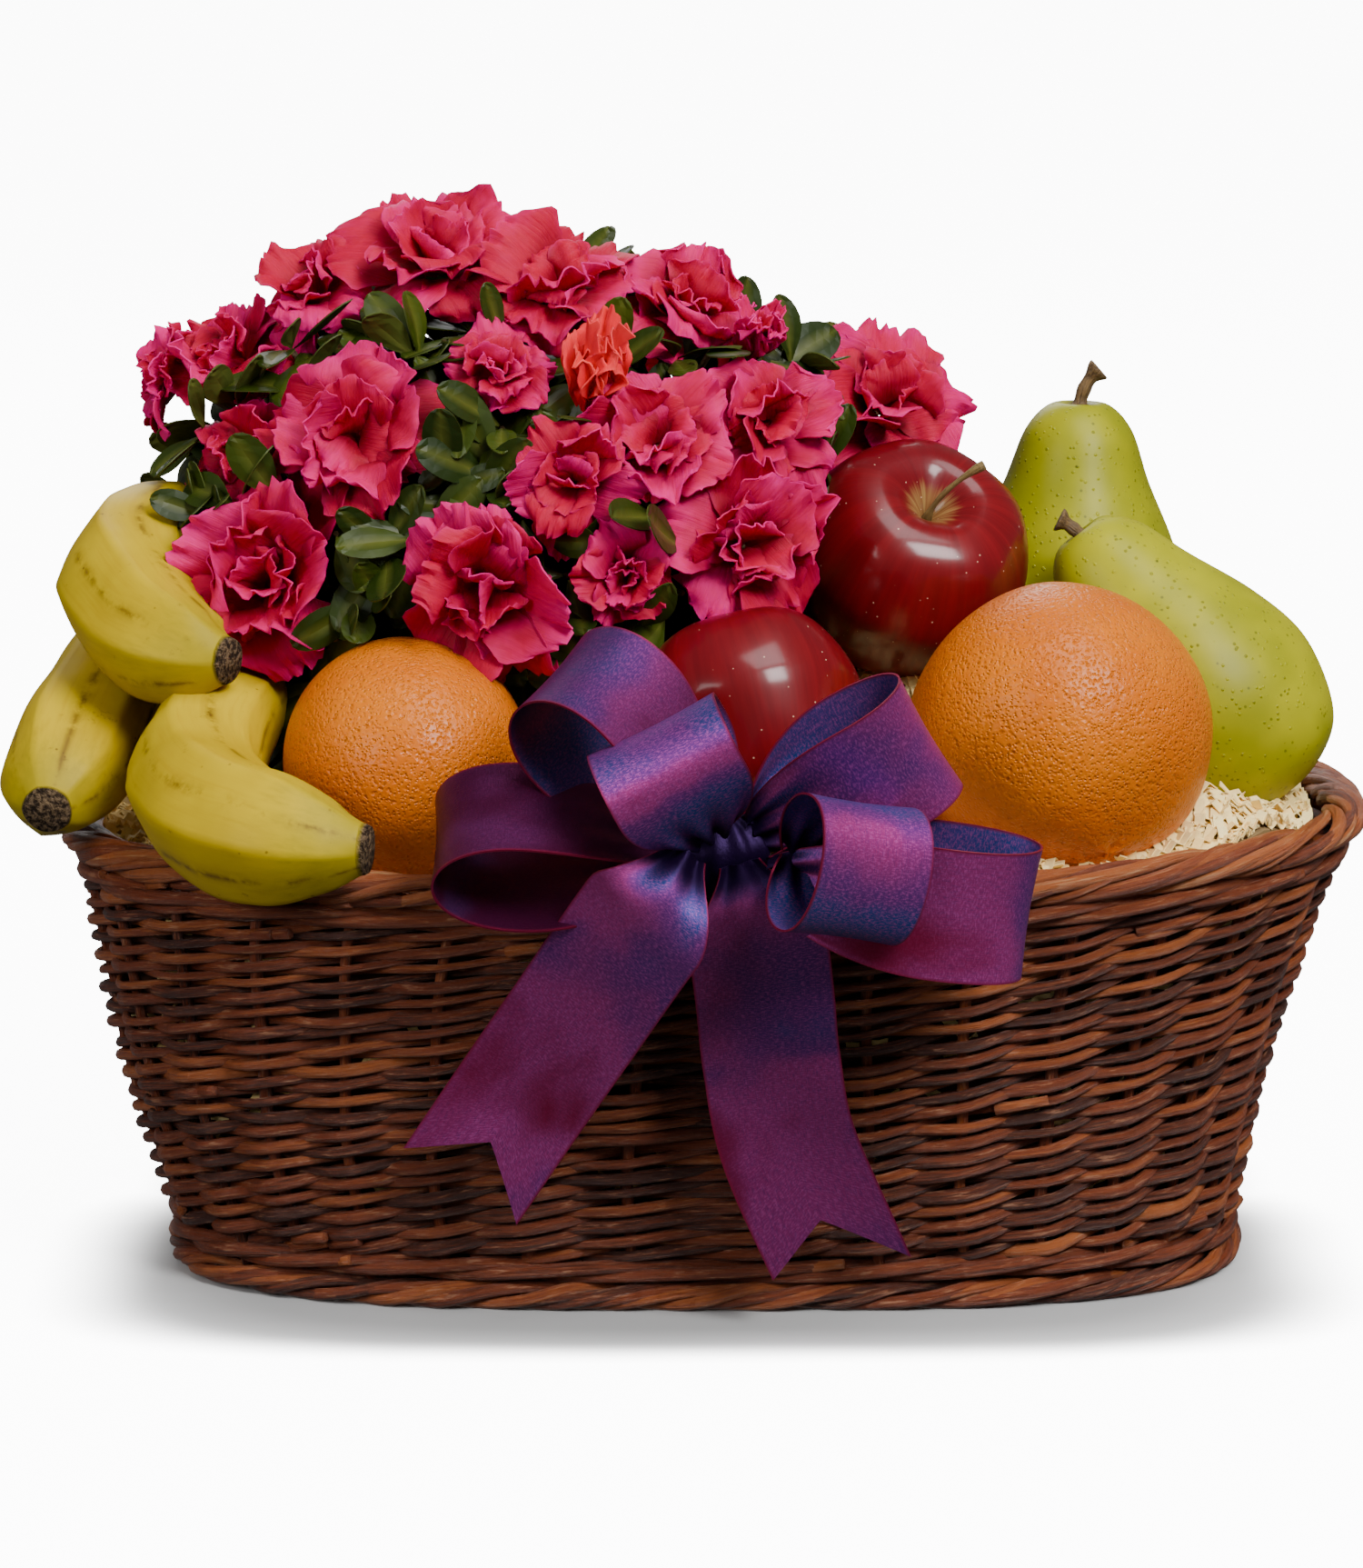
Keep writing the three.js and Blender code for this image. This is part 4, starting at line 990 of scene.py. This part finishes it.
def apple(radius, lumps):
    """A lathed apple with five lobes that fade in from its middle to both ends, and slow lumps. Its
    cavity is marked, and its grain runs from end to end."""
    rows, poles = lathe(radius * np.array(APPLE_OUTLINE), 90, 132)
    angle = np.arctan2(rows[..., 1], rows[..., 0])
    lobe = 1 + 0.028 * np.cos(5 * angle) * ease(np.abs(rows[..., 2]), 0, radius)
    rows[..., :2] *= (lobe * (1 + 0.006 * waves(rows, 40, lumps)))[..., None]
    x, y, z = np.vstack([rows.reshape(-1, 3), poles]).T / radius
    turn = np.arctan2(y, x)
    cavity = ease(np.hypot(x, y), 0.5, 0.12) * (z > 0)
    return rows, poles, together(np.cos(turn), np.sin(turn), z), looks(0, cavity)


def pear(radius, lumps):
    """A lathed pear with slow lumps, whose crown is marked for its russet."""
    outline = np.array(PEAR_OUTLINE) * [radius, PEAR_LENGTH] - [0, 0.92 * radius]
    rows, poles = lathe(outline, 100, 120)
    rows[..., :2] *= (1 + 0.018 * waves(rows, 55, lumps))[..., None]
    x, y, _ = np.vstack([rows.reshape(-1, 3), poles]).T
    return rows, poles, None, looks(0, ease(np.hypot(x, y), 9, 2))


# For each kind of fruit: its shape, its skin and how far it is spun round its axis
KINDS = dict(orange=(orange, "peel", 0.0), apple=(apple, "skin", 0.4), pear=(pear, "skin", 0.0))


def round_fruit(name, paints):
    """A fruit of its kind, turned to the way it lies and moved to its place."""
    kind = name.split("_")[0]
    shape, skin, spin = KINDS[kind]
    spec = ROUND_FRUIT[name]
    rows, poles, grain, look = shape(spec["radius"], spec["lumps"])
    rows, poles = (turned(points, spec["up"], spin) + spec["at"] for points in (rows, poles))
    Parts().body(rows, poles, grain, look).piece(f"{name}_{skin}", paints[kind], kind, [name])


def fruit_stem(name, paint):
    """A stem along a bent line, thicker at its two ends and a little knobbly."""
    fruit, base_height, length, lean, stout, tone = STEMS[name]
    axis = unit(ROUND_FRUIT[fruit]["up"])
    start = ROUND_FRUIT[fruit]["at"] + axis * (base_height - 1.5)
    end = start + axis * length * 0.8 + np.array(lean) * length
    t = np.linspace(0, 1, 22)[:, None]
    radius = 0.95 + 0.85 * ease(t, 0.7, 1.0) ** 1.5 + 0.8 * ease(t, 0.2, 0.0)
    radius = (radius * stout * (1 + 0.06 * np.sin(17 * t))).T
    path = bent(start, start + axis * length * 0.5, end, t)
    wood = Parts().tubes(path[None], radius, 14, [0.2, -1, 0.1], looks(tone))
    wood.piece(f"{name}_wood", paint, "stem", [name])


def banana(name, paint):
    """A peel along its curve: radius x (0.985 + 0.55 x (p - 0.9)), where p is how far a pentagon
    reaches at each angle, easing to a rounder stub that ends in a dark rough cut, with slow lumps."""
    route, radii = BANANAS[name]
    count = 110
    path = spline(route, count)
    t = np.linspace(0, 1, count)[:, None]
    radius = np.maximum(spline(np.reshape(radii, (-1, 1)), count), 5.6) + 0.5 * ease(t, 0.965, 1.0)
    radius[0] *= 0.6
    way = unit(np.gradient(path, axis=0))
    out = square_to(way, [0.3, 0.2, 1.0])
    angle = turns_of(60)
    fifth = TAU / 5
    pentagon = math.cos(fifth / 2) / np.cos(np.mod(angle + fifth / 2, fifth) - fifth / 2)
    r = radius * (0.985 + 0.55 * (pentagon - 0.9) * (1 - 0.75 * ease(t, 0.9, 1.0)))
    across, upward = r * np.cos(angle), r * np.sin(angle)
    rows = stepped(path[:, None], (across, out[:, None]), (upward, np.cross(way, out)[:, None]))
    rows = rows + 0.5 * waves(rows, 26, len(name))[..., None] * unit(rows - path[:, None])
    poles = [path[0] - way[0], path[-1] + way[-1] * 0.4]
    ridge = (0.5 + 0.5 * np.cos(5 * angle)) ** 24
    look = np.vstack([looks(t, ridge, ease(t, 0.972, 0.99)).reshape(-1, 4), [[0, 0, 0, 1], [1, 0, 1, 1]]])
    run = np.cumsum(np.linalg.norm(np.gradient(path, axis=0), axis=-1))[:, None]
    grain = np.vstack([together(run, across, upward).reshape(-1, 3), [[0, 0, 0], [run[-1, 0], 0, 0]]])
    Parts().body(rows, poles, grain, look).piece(f"{name}_peel", paint, "banana", [name])


# ---- the azalea

def petals(rng, radius, whorl, rows=16, cols=21):
    """One whorl of petals. A petal rises from the throat and leans out as its slope eases from first
    to last, each by its own amount. It widens to a broad rounded tip and is folded along its middle;
    its margin is ruffled by waves that run round it, and cut by small teeth."""
    count, size, width, slopes, ruffle, base_height = whorl
    t = 1 - (1 - np.linspace(0, 1, rows)[None, :, None]) ** 1.3
    w = np.linspace(-1, 1, cols)[None, None, :]
    shape = (count, 1, 1)
    bend = np.radians(rng.normal(0, 20, shape)) * t + np.radians(rng.normal(-10, 40, shape)) * t ** 4
    slope = between(np.radians(slopes[0]), np.radians(slopes[1]), t ** 0.7) + bend
    phase = rng.uniform(0, TAU, (6,) + shape)
    teeth = (0.024 * np.sin(19 * w + phase[0]) + 0.016 * np.sin(31 * w + phase[1])
             + 0.03 * np.sin(5 * w + phase[2]))
    length = radius * size * rng.uniform(0.88, 1.1, shape)
    along = t * (1 - 0.27 * np.abs(w) ** 2.5 * t ** 2 + teeth * t ** 2) / np.maximum(t, 1e-6)
    step = np.diff(t, axis=1, prepend=0) * length
    reach = np.cumsum(np.cos(slope) * step, 1) * along + 0.06 * radius
    rise = np.cumsum(np.sin(slope) * step, 1) * along + base_height * radius
    belly = 0.13 + 0.87 * np.sin(np.pi / 2 * np.minimum(1, t / 0.72)) ** 1.3
    belly = belly * (1 - 0.25 * ease(t, 0.7, 1)) * (1 + 0.035 * np.sin(23 * t + phase[3]))
    half = radius * width * belly * rng.uniform(0.9, 1.12, shape)
    around = np.arctan2(w, t - 0.4)
    margin = np.maximum(np.abs(w) ** 1.8 * ease(t, 0.05, 0.45), t ** 4)
    wave = (0.85 * np.sin(3 * around + phase[4]) + 0.65 * np.sin(7 * around + phase[5])
            + 0.35 * np.sin(12 * around + phase[0]))
    lift = rng.uniform(-0.15, 0.5, shape) * np.abs(w) ** 1.5 * half
    lift = lift + ruffle * radius * margin * wave * rng.uniform(0.7, 1.4, shape)
    lift = lift + half * w * rng.normal(0, 0.3, shape) * t
    stray = 0.2 + 0.006 * slopes[1]
    azimuth = TAU * (np.arange(count) / count)[:, None, None] + rng.normal(0, stray, shape)
    azimuth = azimuth + rng.uniform(0, TAU)
    out = together(np.cos(azimuth), np.sin(azimuth), 0)
    across = together(-np.sin(azimuth), np.cos(azimuth), 0)
    normal = stepped(0, (-np.sin(slope), out), (np.cos(slope), UP))
    grid = stepped(0, (reach, out), (rise, UP), (half * w, across), (lift, normal))
    rim = np.maximum(ease(np.abs(w), 0.86, 1.0) * ease(t, 0.3, 0.6), ease(t, 0.95, 1.0))
    look = looks(t, rim, rng.uniform(0, 1, shape))
    grain = together(t * length, w * half, 10.0 * np.arange(count)[:, None, None])
    return grid, grain, look


def flower(number, spec, paint):
    """A double blossom of four ruffled whorls, turned to the way it opens."""
    at, radius, up = spec
    rng = np.random.default_rng(300 + number)
    parts = Parts()
    more = rng.uniform(-12, 20)
    for count, size, width, (first, last), ruffle, low in WHORLS:
        grid, grain, look = petals(rng, radius, (count, size, width, (first, last + more), ruffle, low))
        grid = turned(turned(grid, rng.normal(0, 0.2, 3) + [0, 0, 1]), up) + at
        parts.sheets(grid, PETAL_THICKNESS, grain, look)
    parts.piece(f"blossom_{number + 1:02d}", paint, "blossom", [f"azalea_flower_{number + 1:02d}"], sharp=60)


def bud(name, paint, slot):
    """A half-open bud: narrow whorls of upright petals."""
    at, length, _, up = BUDS[name]
    rng = np.random.default_rng(len(name))
    parts = Parts()
    for whorl in BUD_WHORLS:
        grid, grain, look = petals(rng, length, whorl)
        parts.sheets(turned(grid * 0.9 - 0.5 * length * UP, up) + at, PETAL_THICKNESS, grain, look)
    parts.piece(f"{name}_petals", paint, slot, [name], sharp=60)


def leaves(parts, rng, root, way, facing, length):
    """Leaves with a short stalk that widens to a broad belly and a round tip, folded a little along the
    midrib and curved down towards the tip. The upper face turns to the facing direction."""
    shape = (len(root), 1, 1)
    t = 1 - (1 - np.linspace(0, 1, 9)[None, :, None]) ** 1.55
    w = np.linspace(-1, 1, 5)[None, None, :]
    size = length[:, None, None]
    width = size * rng.uniform(0.21, 0.27, shape)
    round_tip = np.sqrt(np.clip(1 - (np.maximum(t - 0.6, 0) / 0.405) ** 2, 0, 1))
    half = width * (0.07 + 0.93 * np.sin(np.pi / 2 * np.clip((t - 0.06) / 0.54, 0, 1)) ** 1.1) * round_tip
    bend = rng.uniform(-0.15, 0.4, shape)
    forward = size * (t - 0.18 * bend * t ** 2)
    drop = -size * bend * t ** 2 + rng.uniform(0.05, 0.4, shape) * np.abs(w) * half - 0.16 * w ** 2 * half
    way = unit(way)[:, None, None]
    side = unit(np.cross(unit(facing)[:, None, None], way))
    grid = stepped(root[:, None, None], (forward, way), (half * w, side), (drop, np.cross(way, side)))
    rib = np.exp(-(w * half / 0.5) ** 2) * (1 - 0.5 * t)
    veins = 0.5 + 0.5 * np.sin(TAU * (t * 7 - np.abs(w) * 1.1))
    parts.sheets(grid, 0.4, grid, looks(rng.beta(1.3, 2.2, shape), rib, veins))


def columns(specs):
    """A list of specs as one array for each of their values."""
    return [np.array(column, float) for column in zip(*specs)]


def clear_of_blossoms(points):
    """Which leaves keep out of the fruit and of every blossom's space: for each of a leaf's points, over
    0.95 of the blossom's radius from its axis, or well behind or ahead of its middle."""
    at, radius, up = columns(FLOWERS + [(at, radius * 1.5, up) for at, _, radius, up in BUDS.values()])
    up = unit(up)
    apart = points[:, :, None] - at
    ahead = (apart * up).sum(-1)
    aside = np.linalg.norm(apart - ahead[..., None] * up, axis=-1)
    within = (aside < 0.95 * radius) & (ahead > -0.3 * radius) & (ahead < 2.2 * radius)
    balls = [(spec["at"], spec["radius"] + 2) for spec in ROUND_FRUIT.values()]
    balls += [(point, radius + 1) for route, radii in BANANAS.values() for point, radius in zip(route, radii)]
    at, radius = columns(balls)
    inside = np.linalg.norm(points[:, :, None] - at, axis=-1) < radius
    return ~within.any((1, 2)) & ~inside.any((1, 2))


def whorl_places(rng, middle, half):
    """Where leaf clusters stand and which way each points: those seen from the front, and an even
    spiral of others over the dome, drawn in where a flower stands over them."""
    front = np.array(LEAF_CLUSTERS, float)
    front -= 9 * unit((front - middle) / half ** 2)
    k = np.arange(SPIRAL_CLUSTERS)
    rise = 1 - 1.62 * (k + 0.5) / SPIRAL_CLUSTERS
    out = ball(np.arccos(rise), np.pi * (3 - math.sqrt(5)) * k)
    places = np.vstack([front, middle + half * out * rng.uniform(0.92, 1.16, (SPIRAL_CLUSTERS, 1))])
    at, radius, _ = columns(FLOWERS)
    gap = np.linalg.norm(places[:, None] - at, axis=-1) / radius
    close = ease(gap.min(1), 1.0, 0.55) * (np.arange(len(places)) >= len(front))
    outer = unit((places - middle) / half ** 2)
    return places - outer * (14 * close)[:, None], outer


def foliage(green, dry):
    """Whorls of leaves at the ends of twigs, over a heart: a body that stands for the inner leaves,
    in the darkest leaf tone as painted shade.
    """
    rng = np.random.default_rng(41)
    middle, half = np.array(DOME["at"], float), np.array(DOME["half"], float)
    places, outer = whorl_places(rng, middle, half)
    count = len(places) * CLUSTER_LEAVES
    root, axis = (np.repeat(values, CLUSTER_LEAVES, 0) for values in (places, outer))
    helper = unit(np.cross(axis, unit(rng.normal(size=(len(places), 3))).repeat(CLUSTER_LEAVES, 0)))
    turn = np.tile(np.arange(CLUSTER_LEAVES), len(places)) * TAU * 0.382 + rng.normal(0, 0.3, count)
    spread = np.radians(rng.uniform(30, 88, count))
    way = stepped(0, (np.cos(spread), axis), (np.sin(spread) * np.cos(turn), helper),
                  (np.sin(spread) * np.sin(turn), np.cross(axis, helper)))
    length = rng.uniform(17, 28, count)
    clear = clear_of_blossoms(stepped(root[:, None], (length[:, None] * [0.25, 0.6, 1.0], way[:, None])))
    facing = axis + 0.3 * rng.normal(size=(count, 3)) + 0.3 * UP
    parts = Parts()
    leaves(parts, rng, (root + way * 1.5)[clear], way[clear], facing[clear], length[clear])
    heart = ball(np.linspace(2.5, 0.08, 22)[:, None], turns_of(44))
    rows = middle + half * heart * (0.83 + 0.05 * waves(heart * 60, 30, 2))[..., None]
    rows[..., 2] = np.maximum(rows[..., 2], DOME["floor"])
    # painted shade: the heart takes the darkest leaf tone
    parts.body(rows, rows[[0, -1]].mean(1))
    parts.piece("azalea_leaves", green, "foliage", ["azalea_foliage"], sharp=60)

    at, radius, up = columns(FLOWERS)
    ways = np.vstack([outer, unit(up)])
    tips = np.vstack([places, at]) - ways * np.append(0 * places[:, 0], 0.25 * radius)[:, None]
    starts = middle + (tips - middle) * 0.62 - 6 * UP
    t = np.linspace(0, 1, 9)[None, :, None]
    path = bent(starts[:, None], (tips - ways * 14)[:, None], tips[:, None], t)
    twigs = Parts().tubes(path, np.linspace(1.4, 0.9, 9), 6, [0.3, -0.2, 1.0], looks(0.1, 0.2))
    twigs.piece("azalea_twigs", dry, "stem")


# ---- the bow

def satin(name, grid, paint, warm, shade_depth, area=None):
    """A length of ribbon over a grid. Its two colours show in bands of painted sheen: warm where the cloth
    faces up and to the left, cool where it faces down and back. It is painted dark where it is drawn
    narrow in its folds, and all over at least by its own share, both a painted shade."""
    long = float(np.linalg.norm(np.diff(grid, axis=0), axis=-1).sum(0).max())
    rows, cols = grid.shape[:2]
    w = np.linspace(-1, 1, cols)[None]
    t = np.linspace(0, 1, rows)[:, None]
    # painted sheen: bands of colour by the way the cloth faces
    painted_sheen = 0.5 + 0.5 * np.sin(4.6 * (normals(grid[None])[0] @ unit([-0.35, -0.3, 0.85])) + 0.4)
    wide = np.linalg.norm(grid[:, 0] - grid[:, -1], axis=-1)[:, None] / RIBBON["width"]
    # painted shade: dark where the ribbon is drawn narrow, and at least by its own share all over
    painted_shade = np.maximum(ease(wide, 0.8, 0.42), shade_depth)
    look = looks(painted_sheen * 0.8 + 0.1 + warm, ease(np.abs(w), 0.95, 0.99), painted_shade)[None]
    grain = together(t * long, w * RIBBON["width"] / 2, 3.0 * len(name))[None]
    piece = Parts().sheets(grid[None], RIBBON["thickness"], grain, look).piece(
        f"{name}_satin", paint, "ribbon", [name], sharp=50)
    None if area is None else float(area(long)) * MM * MM


def bow_loop(name, spec, paint):
    """A loop out along ahead and back on the two sides of a teardrop: at a share t of its length it is
    length (1 - cos 2pi t) / 2 ahead and (open / 2) 1.3 sin 2pi t sin pi t to one side. Near the knot
    the ribbon is drawn narrow and pleated."""
    ahead = unit(spec["out"])
    side = square_to(ahead, spec["across"])
    t = np.linspace(0, 1, 90)[:, None]
    w = np.linspace(-1, 1, 41)[None]
    forward = spec["length"] * (1 - np.cos(TAU * t[:, 0])) / 2
    swing = 1.3 * np.sin(TAU * t[:, 0]) * np.sin(np.pi * t[:, 0])
    aside = spec["open"] / 2 * swing + 1.5 * (1 - 2 * t[:, 0])
    middle = stepped(np.add(KNOT["at"], spec["start"]), (forward, ahead), (aside, np.cross(ahead, side)))
    drawn = 1 - ease(np.sin(np.pi * t), 0, 0.8)
    width = RIBBON["width"] * (1 - RIBBON["pinch"] * drawn)
    pleat = (2.0 * drawn ** 1.2 * np.cos(3.2 * np.pi * w + len(name))
             + 0.8 * (1 - drawn) * np.cos(0.5 * np.pi * w) * np.sin(np.pi * t))
    normal = np.cross(side, unit(np.gradient(middle, axis=0)))
    grid = stepped(middle[:, None], (width / 2 * w, side), (pleat, normal[:, None]))
    satin(f"bow_loop_{name}", grid, paint, spec["warm"], spec["shade_depth"])


def bow_tail(name, paint):
    """A tail down a curve in front of the wall: narrow at the knot, with a soft wave down its length, and
    cut to a swallow's notch whose depth falls off evenly from its middle to its corners. It turns
    warmer down its length and in bands across it, and cooler in one place near the top."""
    route, slant, warm, cool, shade_depth = TAILS[name]
    line = spline(route, 80)
    t = np.linspace(0, 1, 80)[:, None]
    w = np.linspace(-1, 1, 41)[None]
    _, size = wall_size(line[:, 2])
    front = -chord(line[:, 0], size["half_width"], size["half_depth"], size["square"])
    line[:, 1] = np.minimum(line[:, 1], front - TAIL_STAND_OFF)
    run = unit(np.gradient(line, axis=0))
    side = unit(np.cross([0, -1, 0.25], run))
    normal = np.cross(run, side)
    width = RIBBON["width"] * (0.25 + 0.75 * ease(t, -0.05, 0.3))
    side = side + run * (slant / RIBBON["width"]) * ease(t, 0.6, 1)
    back = NOTCH * (1 - np.abs(w)) * ease(t, 0.72, 1.0)
    gather = 1 - ease(t, 0, 0.3)
    wave = (2.2 * gather * np.cos(1.5 * np.pi * w) * np.cos(0.5 * np.pi * w) ** 0.5
            + 1.3 * (1 - gather) * np.sin(np.pi * (1.4 * t + 0.3 - w * 0.6)))
    grid = stepped(line[:, None], (width / 2 * w, side[:, None]), (-back, run[:, None]),
                   (wave, normal[:, None]))
    band = 0.2 * np.cos(TAU * (t - 0.25) / 0.52)
    patch = cool * np.exp(-((t - 0.22) / 0.16) ** 2 - ((w - 0.5) / 0.7) ** 2)
    satin(name, grid, paint, warm + 0.35 * t + band - 0.15 * w - patch, shade_depth,
          lambda long: RIBBON["width"] * (long - (slant + NOTCH) / 2))


def bow_knot(paint):
    """The knot: a rounded body with pleats that run up it, painted all in the darkest ribbon colour as
    painted shade.
    """
    half = np.array(KNOT["half"], float)
    at = np.array(KNOT["at"], float) + [0, KNOT["behind"], 0]
    polar = np.linspace(np.pi - 0.08, 0.08, 40)[:, None]
    angle = turns_of(80)
    pleat = 1 + 0.045 * np.cos(11 * angle + 2 * np.cos(polar))
    rows = at + half * ball(polar, angle) * pleat[..., None]
    poles = [at - half[2] * UP, at + half[2] * UP]
    Parts().body(rows, poles, look=looks(0.2, 0, 1)).piece("bow_knot_satin", paint, "ribbon", ["bow_knot"])


# ---- the studio

def floor():
    """A white floor that glows, with a painted shadow: in a patch under the basket it is painted darker and
    doesn't glow, where a distance with a little noise is below about 1. The distance is the lesser of two,
    each the fourth root of (a x)^4 + (b y)^4, one about a middle in front of the basket's and one behind it."""
    p = Paint("pale_floor")
    x, y = p.node("ShaderNodeSeparateXYZ", values={0: p.place()}, output=[0, 1])
    # the painted shadow patch's scale front to back
    shade_depth = 10.5
    reaches = [(((x * wide) ** 2) ** 2 + (((y + forward) * shade_depth) ** 2) ** 2) ** 0.25
               for forward, wide in ((0.035, 5.9), (-0.035, 6.6))]
    reach = reaches[0].math("MINIMUM", *reaches) + (p.noise(9.0) - 0.5) * 0.04
    # painted shadow: no glow in the patch under the basket
    glow = p.mix(reach.within(0.87, 1.16) ** 2, (0, 0, 0), (1, 1, 1))
    # painted shadow: dark grey in the patch under the basket, white beyond
    white = p.mix(reach.within(0.74, 1.08), (0.42, 0.42, 0.42), (0.93, 0.93, 0.93))
    p.finish(white, 0.9, p.noise(300.0), 0.00005, 0.1, Emission_Color=glow, Emission_Strength=11.0)
    mesh = bpy.data.meshes.new("floor")
    mesh.from_pydata([(-14, -14, 0), (14, -14, 0), (14, 14, 0), (-14, 14, 0)], [], [(0, 1, 2, 3)])
    mesh.materials.append(p.material)
    obj = linked("floor", mesh)
    obj.visible_diffuse = False
    obj.visible_glossy = False


def lights():
    """A wide soft light overhead to the right, one on each side in front, a weaker one behind and an
    even dim surround."""
    for name, at, aim, size, power in (
        ("overhead", (0.3, -0.45, 1.6), (0.0, 0.0, 0.12), 0.8, 16),
        ("front_right", (1.0, -1.45, 1.6), (0.0, 0.0, 0.14), 0.75, 59),
        ("front_left", (-1.5, -1.6, 1.0), (0.0, 0.0, 0.14), 0.9, 22),
        ("behind", (-0.3, 2.0, 1.3), (0.0, 0.0, 0.12), 1.2, 20),
    ):
        lamp = bpy.data.lights.new(name, "AREA")
        lamp.shape = "SQUARE"
        lamp.size = size
        lamp.energy = power
        obj = linked(name, lamp)
        obj.location = at
        obj.rotation_euler = (Vector(aim) - Vector(at)).to_track_quat("-Z", "Y").to_euler()
    world = bpy.data.worlds.new("surround")
    world.use_nodes = True
    world.node_tree.nodes["Background"].inputs["Color"].default_value = (1, 1, 1, 1)
    world.node_tree.nodes["Background"].inputs["Strength"].default_value = 0.15
    bpy.context.scene.world = world


def camera():
    """The photograph's camera: 1.9 m in front, 0.49 m up, looking down by 10.6 degrees through a lens
    7300 pixels long on an image 1725 pixels high."""
    lens = bpy.data.cameras.new("portrait")
    lens.sensor_width = 36
    lens.lens = 36 * 7300 / 1725
    obj = linked("portrait", lens)
    obj.location = (-0.0067, -1.9, 0.49)
    obj.rotation_euler = (math.radians(90 - 10.6), 0, 0)
    bpy.context.scene.camera = obj


camera()
floor()
lights()
basket(willow_paint())
paper(paper_paint())

skins = dict(orange=orange_paint(), apple=apple_paint(), pear=pear_paint())
for name in ROUND_FRUIT:
    round_fruit(name, skins)
dry = stem_paint()
for name in STEMS:
    fruit_stem(name, dry)
yellow = banana_paint()
for name in BANANAS:
    banana(name, yellow)

pink = petal_paint("azalea_petal", (0.2, 0.0006, 0.01), (0.46, 0.0008, 0.034), (0.74, 0.001, 0.17),
                   (0.84, 0.008, 0.27))
coral = petal_paint("coral_petal", (0.6, 0.003, 0.012), (0.85, 0.014, 0.03), (0.93, 0.05, 0.05),
                    (0.93, 0.1, 0.08))
for number, spec in enumerate(FLOWERS):
    flower(number, spec, pink)
bud("azalea_bud_coral", coral, "coral_bud")
bud("azalea_bud_pink", pink, "blossom")
foliage(leaf_paint(), dry)

satin_paint = ribbon_paint()
bow_knot(satin_paint)
for name, spec in LOOPS.items():
    bow_loop(name, spec, satin_paint)
for name in TAILS:
    bow_tail(name, satin_paint)
